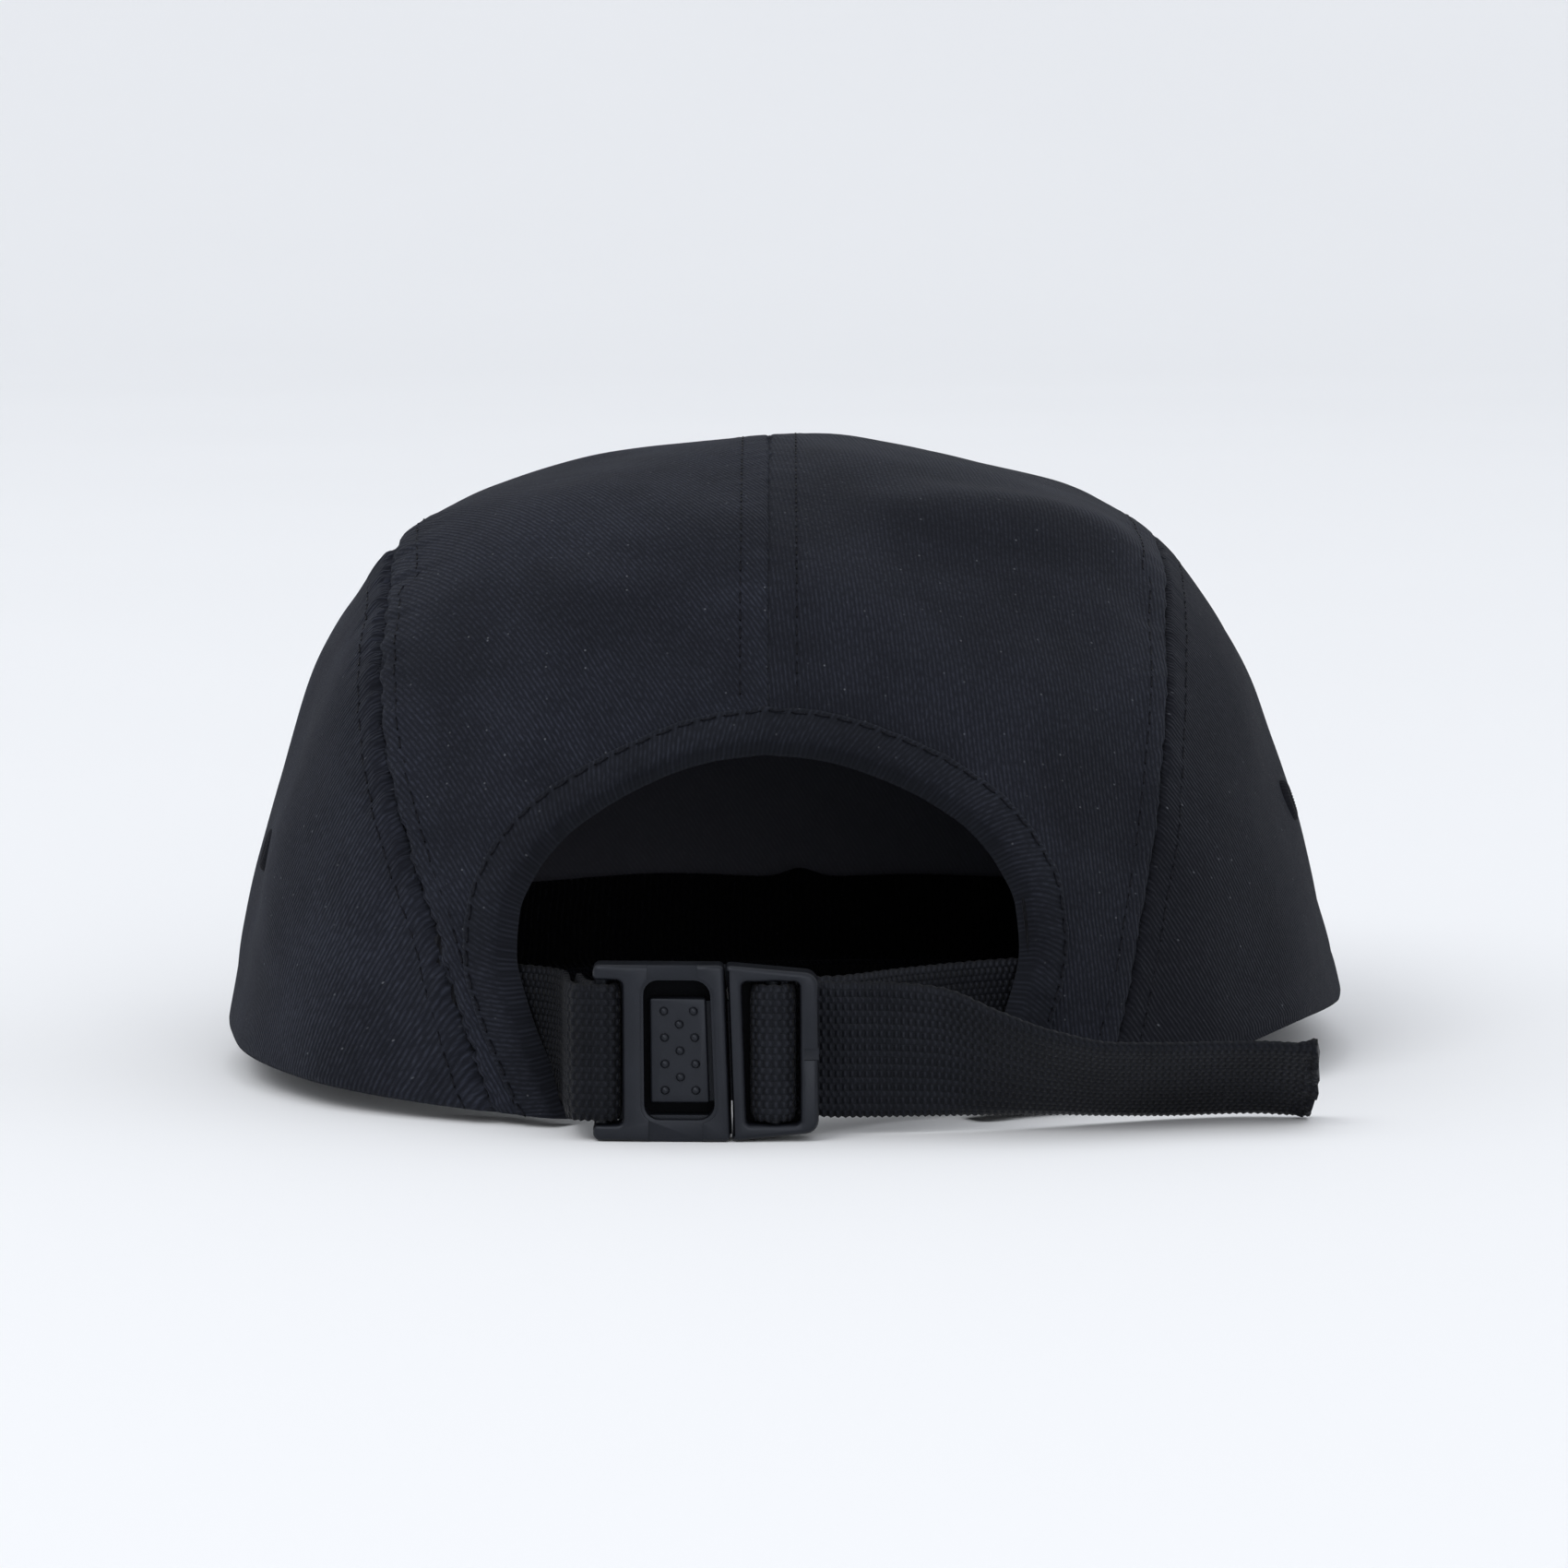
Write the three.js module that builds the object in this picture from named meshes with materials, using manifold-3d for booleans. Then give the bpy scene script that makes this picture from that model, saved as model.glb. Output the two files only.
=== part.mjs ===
// Five panel cap: crown of five cloth panels, flat visor, sweatband, bound back opening,
// webbing strap and plastic clip buckle. Millimetres, +Z up, visor towards -Y, opening towards +Y.

import * as THREE from 'three';
import { mergeVertices } from 'three/addons/utils/BufferGeometryUtils.js';
import Module from 'manifold-3d';

const wasm = await Module();
wasm.setup();

// Crown
const crownHalfWidth = 90.7;
const crownHalfLength = 94;
const crownHeight = 99.4;
const crownSkew = 12; // the left side sits this much further back than the middle, the right further forward
const crownLean = 2.2; // the top leans this far towards the left
const clothThickness = 1.5;
const clearance = 0.3; // between pieces that touch on the real cap

// Back opening and its binding
const openingHalfWidth = 0.4465 * crownHalfWidth;
const openingHeight = 55.4;
const openingCentreX = 2.4;
const bindingWidth = 6;
const bindingProud = 0.5; // the tape stands this far off the cloth on both sides

// Hem lift above the floor
const hemLiftBack = 0.8;
const hemLiftLeft = 3.6;
const hemLiftRight = 8;
const hemLiftRightBack = 9.5;

// Visor
const visorReach = 66;
const visorOverhang = 4.7; // how far its widest part reaches past its sewn ends
const visorThickness = 3;
const visorSeam = 8; // how far it runs in under the crown

// Sweatband
const sweatbandThickness = 1.2;
const sweatbandFront = 18;
const sweatbandSide = 25;
const sweatbandBack = 3; // how far its ends stop short of the opening's edge

// Eyelets
const eyeletRadius = 3.5;
const eyeletHoleRadius = 1.5;
const eyeletHeightLeft = 35.5;
const eyeletHeightRight = 41;
const eyeletProud = 0.35;

// Folds of the cloth
const foldHalfWidth = 10;
const foldHeight = 1.5;

// Webbing and buckle
const webbingWidth = 20;
const webbingThickness = 1.4;
const tailLength = 81;
const buckleHeight = 26.3;
const buckleThickness = 6;
const buckleCentreX = 8.3; // the joint line between socket and insert
const socketWidth = 20;
const insertWidth = 13.4;
const buckleStandOff = 14.6; // the buckle's outer face behind the crown's back
const buckleFloorGap = 0.1;
const socketBarRadius = 1;
const insertBarRadius = 1.3;
const barInset = 0.4; // between the socket's strap bar and its outer end
const frameWall = 3.1;
const socketCorner = 1.2;
const socketBevel = 0.6;
const stemWidth = 3.2; // between the socket's window and its strap slot
const windowInset = 2.6; // from the joint line to the window
const windowWidth = 9.8;
const insertTaper = 1.3;
const insertWall = 2.2;
const insertCorner = 1;
const insertBevel = 0.5;
const tongueThickness = 1.6;
const tongueMargin = 2.2; // between the tongue and the window's upper and lower edges
const tongueDepth = 1.4; // from the buckle's back face to the tongue
const plateDepth = 1.4; // from the buckle's outer face down to the press plate
const plateStartGap = 0.5;
const plateEndGap = 0.7;
const reach = 1; // pieces that are joined reach this far in, and cuts this far past

// Crown sections from the hem to the top: shares of height, half width and half length.
const crownSections = [
  { height: 0.0, side: 1.0, back: 1.0, front: 1.0, square: 2.3 },
  { height: 0.15, side: 0.978, back: 0.985, front: 0.99, square: 2.3 },
  { height: 0.3, side: 0.945, back: 0.955, front: 0.97, square: 2.35 },
  { height: 0.45, side: 0.895, back: 0.905, front: 0.94, square: 2.4 },
  { height: 0.6, side: 0.84, back: 0.83, front: 0.905, square: 2.45 },
  { height: 0.72, side: 0.77, back: 0.735, front: 0.865, square: 2.5 },
  { height: 0.8, side: 0.708, back: 0.655, front: 0.825, square: 2.5 },
  { height: 0.86, side: 0.637, back: 0.56, front: 0.77, square: 2.5 },
  { height: 0.905, side: 0.54, back: 0.455, front: 0.69, square: 2.5 },
  { height: 0.94, side: 0.42, back: 0.35, front: 0.56, square: 2.45 },
  { height: 0.97, side: 0.29, back: 0.24, front: 0.39, square: 2.4 },
  { height: 0.99, side: 0.15, back: 0.13, front: 0.2, square: 2.2 },
  { height: 1.0, side: 0.0, back: 0.0, front: 0.0, square: 2.0 },
];

// Seams between top and side panels: distance from the middle as a share of the half width.
const sideSeam = [
  { height: 0.0, left: 0.475, right: 0.53 },
  { height: 0.1, left: 0.52, right: 0.565 },
  { height: 0.25, left: 0.575, right: 0.61 },
  { height: 0.42, left: 0.64, right: 0.645 },
  { height: 0.6, left: 0.69, right: 0.665 },
  { height: 0.78, left: 0.7, right: 0.675 },
  { height: 0.88, left: 0.675, right: 0.66 },
  { height: 1.05, left: 0.665, right: 0.65 },
];

// Seam round the front panel: distance in front of the middle as a share of the half length.
const frontSeam = [
  { height: 0.0, ahead: 0.42 },
  { height: 0.3, ahead: 0.47 },
  { height: 0.6, ahead: 0.55 },
  { height: 0.85, ahead: 0.62 },
  { height: 1.05, ahead: 0.64 },
];

// Edge of the back opening, from the hem to the crest of the arch, as shares of its size.
const openingEdge = [
  { height: -0.2, across: 0.78 },
  { height: 0.0, across: 0.78 },
  { height: 0.14, across: 0.86 },
  { height: 0.3, across: 0.95 },
  { height: 0.45, across: 1.0 },
  { height: 0.57, across: 0.985 },
  { height: 0.68, across: 0.915 },
  { height: 0.78, across: 0.8 },
  { height: 0.87, across: 0.62 },
  { height: 0.95, across: 0.37 },
  { height: 0.985, across: 0.19 },
  { height: 1.0, across: 0.0 },
];

// Soft folds of the cloth, from one place to another: turns are shares of a full turn from the
// left side through the back, ups are shares of the sections. Widths and outward rises are
// shares of the fold sizes above.
const folds = [
  { name: 'right crease', turnA: 0.33, upA: 0.66, turnB: 0.415, upB: 0.57, width: 0.9, rise: 1.2 },
  { name: 'under right crease', turnA: 0.31, upA: 0.54, turnB: 0.39, upB: 0.47, width: 1.3, rise: -1 },
  { name: 'left hollow', turnA: 0.19, upA: 0.3, turnB: 0.2, upB: 0.5, width: 1.2, rise: -0.8 },
  { name: 'left roll', turnA: 0.165, upA: 0.12, turnB: 0.175, upB: 0.5, width: 0.8, rise: 0.6 },
  { name: 'right drape', turnA: 0.35, upA: 0.1, turnB: 0.36, upB: 0.4, width: 1, rise: -0.8 },
  { name: 'left side wave', turnA: 0.03, upA: 0.15, turnB: 0.06, upB: 0.45, width: 1.4, rise: -0.73 },
];

// Run of the free tail from the insert to its end, as shares of the tail's length: the depth of
// its lower edge behind the buckle's outer face, how far its upper edge leans outwards and the
// lift of its lower edge, all as shares of the webbing's width.
const tailRun = [
  { along: 0.0, depth: 0.375, lean: 0.01, lift: 0.15 },
  { along: 0.13, depth: 0.41, lean: 0.05, lift: 0.15 },
  { along: 0.25, depth: 0.48, lean: 0.21, lift: 0.15 },
  { along: 0.37, depth: 0.6, lean: 0.545, lift: 0.14 },
  { along: 0.48, depth: 0.76, lean: 0.705, lift: 0.12 },
  { along: 0.6, depth: 0.975, lean: 0.765, lift: 0.08 },
  { along: 0.75, depth: 1.21, lean: 0.765, lift: 0.05 },
  { along: 0.88, depth: 1.31, lean: 0.77, lift: 0.05 },
  { along: 1.0, depth: 1.27, lean: 0.77, lift: 0.03 },
];

// Lift of the hem round the cap: how much each named lift counts at a turn.
const hemRun = [
  { turn: 0.0, left: 1, back: 0, rightBack: 0, right: 0, front: 0 },
  { turn: 0.08, left: 0.45, back: 0.6, rightBack: 0, right: 0, front: 0 },
  { turn: 0.16, left: 0, back: 1, rightBack: 0, right: 0, front: 0 },
  { turn: 0.3, left: 0, back: 1, rightBack: 0.05, right: 0, front: 0 },
  { turn: 0.42, left: 0, back: 0, rightBack: 1, right: 0, front: 0 },
  { turn: 0.5, left: 0, back: 0, rightBack: 0, right: 1, front: 0 },
  { turn: 0.6, left: 0, back: 0, rightBack: 0, right: 0.5, front: 0.5 },
  { turn: 0.7, left: 0, back: 0, rightBack: 0, right: 0, front: 1 },
  { turn: 0.85, left: 0, back: 0, rightBack: 0, right: 0, front: 1 },
  { turn: 1.0, left: 1, back: 0, rightBack: 0, right: 0, front: 0 },
];

// How finely the round forms are stepped
const turnSteps = 64;
const sectionSteps = 16;

const buckleFaceY = crownHalfLength + buckleStandOff;
const buckleBackY = buckleFaceY - buckleThickness;
const hemLiftFront = visorThickness + clearance;
const strapBase = buckleFloorGap + (buckleHeight - webbingWidth) / 2;

const twill = { color: 0x14161c, roughness: 0.92, metalness: 0 };
const lining = { color: 0x24262c, roughness: 0.95, metalness: 0 };
const bandCloth = { color: 0x0b0c10, roughness: 0.9, metalness: 0 };
const tape = { color: 0x15171d, roughness: 0.88, metalness: 0 };
const webbing = { color: 0x17181b, roughness: 0.8, metalness: 0 };
const plastic = { color: 0x26282b, roughness: 0.5, metalness: 0 };
const thread = { color: 0x101218, roughness: 0.85, metalness: 0 };

// Value of one column of a table at a position of its first column, as a smooth curve that
// never swings past its rows.
function readTable(rows, key, column, position) {
  const last = rows.length - 1;
  const place = Math.min(Math.max(position, rows[0][key]), rows[last][key]);
  let i = 0;
  while (i < last - 1 && place > rows[i + 1][key]) i += 1;
  const slopeAfter = (k) => (rows[k + 1][column] - rows[k][column]) / (rows[k + 1][key] - rows[k][key]);
  const slopeAt = (k) => {
    if (k === 0) return slopeAfter(0);
    if (k === last) return slopeAfter(last - 1);
    const before = slopeAfter(k - 1);
    const after = slopeAfter(k);
    if (before * after <= 0) return 0;
    return (2 * before * after) / (before + after);
  };
  const a = rows[i];
  const b = rows[i + 1];
  const span = b[key] - a[key];
  const t = (place - a[key]) / span;
  const startShare = (1 + 2 * t) * (1 - t) * (1 - t);
  const startSlopeShare = t * (1 - t) * (1 - t) * span;
  const endShare = t * t * (3 - 2 * t);
  const endSlopeShare = t * t * (t - 1) * span;
  const ends = startShare * a[column] + endShare * b[column];
  return ends + startSlopeShare * slopeAt(i) + endSlopeShare * slopeAt(i + 1);
}

const numberedSections = crownSections.map((row, i) => ({ ...row, up: i / (crownSections.length - 1) }));

// Lift of the hem above the floor at a turn.
function hemLift(turn) {
  const place = turn - Math.floor(turn);
  const count = (column) => readTable(hemRun, 'turn', column, place);
  const ends = hemLiftBack * count('back') + hemLiftFront * count('front');
  const sides = hemLiftLeft * count('left') + hemLiftRight * count('right');
  return ends + sides + hemLiftRightBack * count('rightBack');
}

// Point of the smooth crown, before folds. Turn 0 is the left side, 0.25 the back, 0.75 the front.
function smoothCrownPoint(turn, up) {
  const section = (column) => readTable(numberedSections, 'up', column, up);
  const angle = turn * 2 * Math.PI;
  const across = Math.cos(angle);
  const along = Math.sin(angle);
  const halfWidth = crownHalfWidth * section('side');
  const halfLength = crownHalfLength * (along > 0 ? section('back') : section('front'));
  const firstRow = numberedSections[1].up;
  const hemShare = Math.max(0, 1 - up / firstRow);
  const height = crownHeight * section('height') + hemLift(turn) * hemShare;
  if (halfWidth < 1e-6) return new THREE.Vector3(crownLean / 2, 0, height);
  const square = section('square');
  const wide = (Math.abs(across) / halfWidth) ** square;
  const long = (Math.abs(along) / halfLength) ** square;
  const radius = (wide + long) ** (-1 / square);
  const heightShare = section('height');
  const x = radius * across + crownLean * (heightShare - 0.5);
  const y = radius * along + crownSkew * across * section('side');
  return new THREE.Vector3(x, y, height);
}

// Outward direction of the smooth crown at a turn and up.
function crownNormal(turn, up) {
  if (up > 1 - 1e-6) return new THREE.Vector3(0, 0, 1);
  const step = 0.004;
  const low = smoothCrownPoint(turn, Math.max(up - step, 0));
  const high = smoothCrownPoint(turn, Math.min(up + step, 1));
  const left = smoothCrownPoint(turn - step, up);
  const right = smoothCrownPoint(turn + step, up);
  return right.sub(left).cross(high.sub(low)).normalize();
}

const foldLines = folds.map((fold) => ({
  line: new THREE.Line3(smoothCrownPoint(fold.turnA, fold.upA), smoothCrownPoint(fold.turnB, fold.upB)),
  halfWidth: fold.width * foldHalfWidth,
  rise: fold.rise * foldHeight,
}));

// How far the folds push the cloth out at a point.
function foldRise(point) {
  const nearest = new THREE.Vector3();
  let rise = 0;
  for (const fold of foldLines) {
    fold.line.closestPointToPoint(point, true, nearest);
    rise += fold.rise * Math.exp(-((nearest.distanceTo(point) / fold.halfWidth) ** 2));
  }
  return rise;
}

// Point of the cloth at a depth inside its outer face.
function crownPoint(turn, up, depth) {
  const point = smoothCrownPoint(turn, up);
  const push = foldRise(point) - depth;
  return point.addScaledVector(crownNormal(turn, up), push);
}

// The turn at which the smooth crown passes a distance across, on its back half, at an up.
function turnAtX(x, up) {
  let low = 0;
  let high = 0.5;
  for (let i = 0; i < 40; i += 1) {
    const middle = (low + high) / 2;
    if (smoothCrownPoint(middle, up).x > x) low = middle;
    else high = middle;
  }
  return (low + high) / 2;
}

// The up at which the smooth crown reaches a height, at a turn.
function upAtHeight(turn, height) {
  let low = 0;
  let high = 1;
  for (let i = 0; i < 40; i += 1) {
    const middle = (low + high) / 2;
    if (smoothCrownPoint(turn, middle).z < height) low = middle;
    else high = middle;
  }
  return (low + high) / 2;
}

// Closed geometry through rings of equal length, each end closed by a fan to its middle.
function loft(rings) {
  const count = rings[0].length;
  const middle = (ring) => {
    const sum = new THREE.Vector3();
    for (const point of ring) sum.add(point);
    return sum.divideScalar(count);
  };
  const points = [...rings.flat(), middle(rings[0]), middle(rings[rings.length - 1])];
  const startMiddle = points.length - 2;
  const endMiddle = points.length - 1;
  const index = [];
  for (let r = 0; r < rings.length - 1; r += 1) {
    for (let i = 0; i < count; i += 1) {
      const next = (i + 1) % count;
      const a = r * count + i;
      const b = r * count + next;
      const c = (r + 1) * count + next;
      const d = (r + 1) * count + i;
      index.push(a, b, c, a, c, d);
    }
  }
  const lastRing = (rings.length - 1) * count;
  for (let i = 0; i < count; i += 1) {
    const next = (i + 1) % count;
    index.push(startMiddle, next, i);
    index.push(endMiddle, lastRing + i, lastRing + next);
  }
  const geometry = new THREE.BufferGeometry().setFromPoints(points);
  geometry.setIndex(index);
  return geometry;
}

// A closed geometry as a solid that can be cut and joined.
function toSolid(geometry) {
  const bare = geometry.clone();
  bare.deleteAttribute('normal');
  bare.deleteAttribute('uv');
  const merged = mergeVertices(bare, 1e-4);
  return new wasm.Manifold(
    new wasm.Mesh({
      numProp: 3,
      vertProperties: new Float32Array(merged.attributes.position.array),
      triVerts: new Uint32Array(merged.index.array),
    }),
  );
}

function toGeometry(solid) {
  const mesh = solid.getMesh();
  const geometry = new THREE.BufferGeometry();
  geometry.setAttribute('position', new THREE.BufferAttribute(new Float32Array(mesh.vertProperties), 3));
  geometry.setIndex(new THREE.BufferAttribute(new Uint32Array(mesh.triVerts), 1));
  geometry.computeVertexNormals();
  return geometry;
}

// Box between two corners.
function box(x0, x1, y0, y1, z0, z1) {
  const geometry = new THREE.BoxGeometry(x1 - x0, y1 - y0, z1 - z0);
  geometry.translate((x0 + x1) / 2, (y0 + y1) / 2, (z0 + z1) / 2);
  return toSolid(geometry);
}

// Outline of x and z pairs, extruded from one y to another.
function prismAlongY(outline, fromY, toY, bevel = 0) {
  const shape = new THREE.Shape(outline.map(([x, z]) => new THREE.Vector2(x, z)));
  const geometry = new THREE.ExtrudeGeometry(shape, {
    depth: toY - fromY - 2 * bevel,
    bevelEnabled: bevel > 0,
    bevelSize: bevel,
    bevelOffset: -bevel,
    bevelThickness: bevel,
    bevelSegments: 1,
  });
  geometry.rotateX(Math.PI / 2);
  geometry.translate(0, toY - bevel, 0);
  return toSolid(geometry);
}

// Outline of y and z pairs, extruded across the whole width.
function prismAlongX(outline, halfSpan) {
  const shape = new THREE.Shape(outline.map(([y, z]) => new THREE.Vector2(y, z)));
  const geometry = new THREE.ExtrudeGeometry(shape, { depth: 2 * halfSpan, bevelEnabled: false });
  geometry.rotateX(Math.PI / 2);
  geometry.rotateZ(Math.PI / 2);
  geometry.translate(-halfSpan, 0, 0);
  return toSolid(geometry);
}

// Skin of the crown between two depths inside its outer face, open below.
function crownSkin(outerDepth, innerDepth) {
  const below = -2 * hemLiftRightBack;
  const body = (depth, reachesBelow) => {
    const rings = [];
    const firstRing = [];
    for (let i = 0; i < turnSteps; i += 1) firstRing.push(crownPoint(i / turnSteps, 0, depth));
    if (reachesBelow) rings.push(firstRing.map((p) => new THREE.Vector3(p.x, p.y, below)));
    rings.push(firstRing);
    for (let k = 1; k < sectionSteps; k += 1) {
      const up = k / sectionSteps;
      const ring = [];
      for (let i = 0; i < turnSteps; i += 1) ring.push(crownPoint(i / turnSteps, up, depth));
      rings.push(ring);
    }
    return toSolid(loft(rings));
  };
  return body(outerDepth, false).subtract(body(innerDepth, true));
}

// Edge of the back opening, moved outwards, from the left foot over the crest to the right foot.
function openingOutline(outset) {
  const half = [];
  const steps = 22;
  const low = openingEdge[0].height;
  for (let i = 0; i <= steps; i += 1) {
    const share = 1 - (1 - i / steps) ** 2;
    const height = low + (1 - low) * share;
    const across = i === steps ? 0 : readTable(openingEdge, 'height', 'across', height);
    half.push(new THREE.Vector2(across * openingHalfWidth, height * openingHeight));
  }
  const moved = half.map((point, i) => {
    if (i === 0) return new THREE.Vector2(point.x + outset, point.y);
    if (i === steps) return new THREE.Vector2(0, point.y + outset);
    const run = half[i + 1].clone().sub(half[i - 1]).normalize();
    return new THREE.Vector2(point.x + run.y * outset, point.y - run.x * outset);
  });
  const left = moved.map((p) => [openingCentreX + p.x, p.y]);
  const right = moved.slice(0, -1).map((p) => [openingCentreX - p.x, p.y]);
  return [...left, ...right.reverse()];
}

// Everything behind the cap's middle that lies inside the moved edge of the opening.
function openingTool(outset) {
  return prismAlongY(openingOutline(outset), 0, 2 * buckleFaceY);
}

// Region beyond the side seam on the left or right, or between the seams, kept off by a margin.
function seamOutline(side, margin) {
  const rows = 16;
  const outline = [];
  const top = sideSeam[sideSeam.length - 1].height;
  const low = -0.2;
  for (let i = 0; i <= rows; i += 1) {
    const height = low + ((top - low) * i) / rows;
    const across = readTable(sideSeam, 'height', side > 0 ? 'left' : 'right', height) * crownHalfWidth;
    outline.push([side * (across + margin), height * crownHeight]);
  }
  return outline;
}

function sideRegion(side) {
  const edge = seamOutline(side, clearance / 2);
  const far = side * 2 * crownHalfWidth;
  const top = edge[edge.length - 1][1];
  const low = edge[0][1];
  const outline = [...edge, [far, top], [far, low]];
  return prismAlongY(outline, -2 * crownHalfLength, 2 * crownHalfLength);
}

function topRegion(side) {
  const edge = seamOutline(side, -clearance / 2);
  const nearMiddle = side * (clearance / 2) + openingCentreX;
  const top = edge[edge.length - 1][1];
  const low = edge[0][1];
  const outline = [...edge, [nearMiddle, top], [nearMiddle, low]];
  return prismAlongY(outline, -2 * crownHalfLength, 2 * crownHalfLength);
}

function frontRegion(margin) {
  const rows = 12;
  const top = frontSeam[frontSeam.length - 1].height;
  const low = -0.2;
  const outline = [];
  for (let i = 0; i <= rows; i += 1) {
    const height = low + ((top - low) * i) / rows;
    const ahead = readTable(frontSeam, 'height', 'ahead', height) * crownHalfLength;
    outline.push([-ahead + margin, height * crownHeight]);
  }
  outline.push([-2 * crownHalfLength, top * crownHeight]);
  outline.push([-2 * crownHalfLength, low * crownHeight]);
  return prismAlongX(outline, 2 * crownHalfWidth);
}

// Place and outward direction of an eyelet on the left or right side panel.
function eyeletPlace(side) {
  const turn = side > 0 ? 0.035 : 0.462;
  const up = upAtHeight(turn, side > 0 ? eyeletHeightLeft : eyeletHeightRight);
  return { point: crownPoint(turn, up, clothThickness / 2), normal: crownNormal(turn, up) };
}

function turnedToNormal(geometry, place) {
  const turn = new THREE.Quaternion().setFromUnitVectors(new THREE.Vector3(0, 1, 0), place.normal);
  geometry.applyQuaternion(turn);
  geometry.translate(place.point.x, place.point.y, place.point.z);
  return geometry;
}

function eyelet(side) {
  const half = clothThickness / 2 + eyeletProud;
  const shoulder = half * 0.6;
  const profile = [
    [eyeletHoleRadius, -shoulder],
    [(eyeletHoleRadius + eyeletRadius) / 2, -half],
    [eyeletRadius, -shoulder],
    [eyeletRadius, shoulder],
    [(eyeletHoleRadius + eyeletRadius) / 2, half],
    [eyeletHoleRadius, shoulder],
    [eyeletHoleRadius, -shoulder],
  ].map(([r, h]) => new THREE.Vector2(r, h));
  return turnedToNormal(new THREE.LatheGeometry(profile, 16), eyeletPlace(side));
}

function eyeletCutter(side) {
  const radius = eyeletRadius + clearance;
  return toSolid(turnedToNormal(new THREE.CylinderGeometry(radius, radius, 8 * clothThickness, 20), eyeletPlace(side)));
}

function crownPanels() {
  const skin = crownSkin(0, clothThickness);
  const opened = skin.subtract(openingTool(bindingWidth + clearance));
  const behind = opened.subtract(frontRegion(clearance / 2));
  return {
    front_panel: opened.intersect(frontRegion(-clearance / 2)),
    side_panel_left: behind.intersect(sideRegion(1)).subtract(eyeletCutter(1)),
    side_panel_right: behind.intersect(sideRegion(-1)).subtract(eyeletCutter(-1)),
    top_panel_left: behind.intersect(topRegion(1)),
    top_panel_right: behind.intersect(topRegion(-1)),
  };
}

function openingBinding() {
  const thick = crownSkin(-bindingProud, clothThickness + bindingProud);
  return thick.intersect(openingTool(bindingWidth)).subtract(openingTool(0));
}

// Band inside the rim, from one side of the opening round the front to the other.
function sweatband() {
  const outer = clothThickness + bindingProud + clearance;
  const band = crownSkin(outer, outer + sweatbandThickness);
  const front = -2 * crownHalfLength;
  const back = 2 * crownHalfLength;
  const below = -2 * hemLiftRightBack;
  const topEdge = prismAlongX(
    [
      [front, below],
      [back, below],
      [back, sweatbandSide],
      [0, sweatbandSide],
      [-crownHalfLength * 0.5, (sweatbandSide + sweatbandFront) / 2],
      [-crownHalfLength * 0.8, sweatbandFront],
      [front, sweatbandFront],
    ],
    2 * crownHalfWidth,
  );
  return band.intersect(topEdge).subtract(openingTool(sweatbandBack));
}

// Flat crescent: its inner edge runs in under the crown's front rim.
function visor() {
  const steps = 28;
  const halfSweep = 0.19; // share of a turn on each side of the front
  const fullness = 0.72;
  const outer = [];
  const inner = [];
  for (let i = 0; i <= steps; i += 1) {
    const rim = smoothCrownPoint(0.75 + (-1 + (2 * i) / steps) * halfSweep, 0);
    const inward = new THREE.Vector2(-rim.x, -rim.y).setLength(visorSeam);
    inner.push(new THREE.Vector2(rim.x + inward.x, rim.y + inward.y));
  }
  const start = inner[0];
  const end = inner[steps];
  const frontY = smoothCrownPoint(0.75, 0).y - visorReach;
  const middleX = (start.x + end.x) / 2;
  const halfWidth = (end.x - start.x) / 2 + visorOverhang;
  for (let i = 0; i <= steps; i += 1) {
    const angle = (-1 + (2 * i) / steps) * Math.PI * 0.5;
    const across = Math.sin(angle);
    const endY = start.y + ((end.y - start.y) * (across + 1)) / 2;
    const bow = Math.max(Math.cos(angle), 0) ** fullness;
    outer.push(new THREE.Vector2(middleX + halfWidth * across, endY + (frontY - endY) * bow));
  }
  const outline = [...inner, ...outer.reverse()];
  const geometry = new THREE.ExtrudeGeometry(new THREE.Shape(outline), {
    depth: visorThickness,
    bevelEnabled: false,
  });
  return toSolid(geometry);
}

// Flat band through stations that give its lower edge, its upper edge and a share of its width.
function ribbon(stations) {
  const half = webbingThickness / 2;
  const rings = stations.map((station, i) => {
    const before = stations[Math.max(i - 1, 0)];
    const after = stations[Math.min(i + 1, stations.length - 1)];
    const run = after.low.clone().add(after.high).sub(before.low).sub(before.high).normalize();
    const rise = station.high.clone().sub(station.low).normalize();
    const out = run.clone().cross(rise).normalize().multiplyScalar(half);
    return [
      station.low.clone().add(out),
      station.high.clone().add(out),
      station.high.clone().sub(out),
      station.low.clone().sub(out),
    ];
  });
  const solid = toSolid(loft(rings));
  if (solid.volume() > 0) return solid;
  return toSolid(loft(rings.reverse()));
}

// Upright stations along a smooth plan path of x and y pairs.
function uprightStations(path, steps) {
  const curve = new THREE.CatmullRomCurve3(
    path.map(([x, y]) => new THREE.Vector3(x, y, 0)),
    false,
    'centripetal',
  );
  const base = strapBase + clearance / 2;
  return curve.getSpacedPoints(steps).map((point) => ({
    low: new THREE.Vector3(point.x, point.y, base),
    high: new THREE.Vector3(point.x, point.y, base + webbingWidth - clearance),
  }));
}

// Points of a turn of webbing round a bar, between two angles in degrees.
function roundBar(centreX, centreY, radius, fromDegrees, toDegrees) {
  const steps = 8;
  const points = [];
  for (let i = 0; i <= steps; i += 1) {
    const degrees = fromDegrees + ((toDegrees - fromDegrees) * i) / steps;
    const angle = THREE.MathUtils.degToRad(degrees);
    points.push([centreX + radius * Math.cos(angle), centreY + radius * Math.sin(angle)]);
  }
  return points;
}

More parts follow.
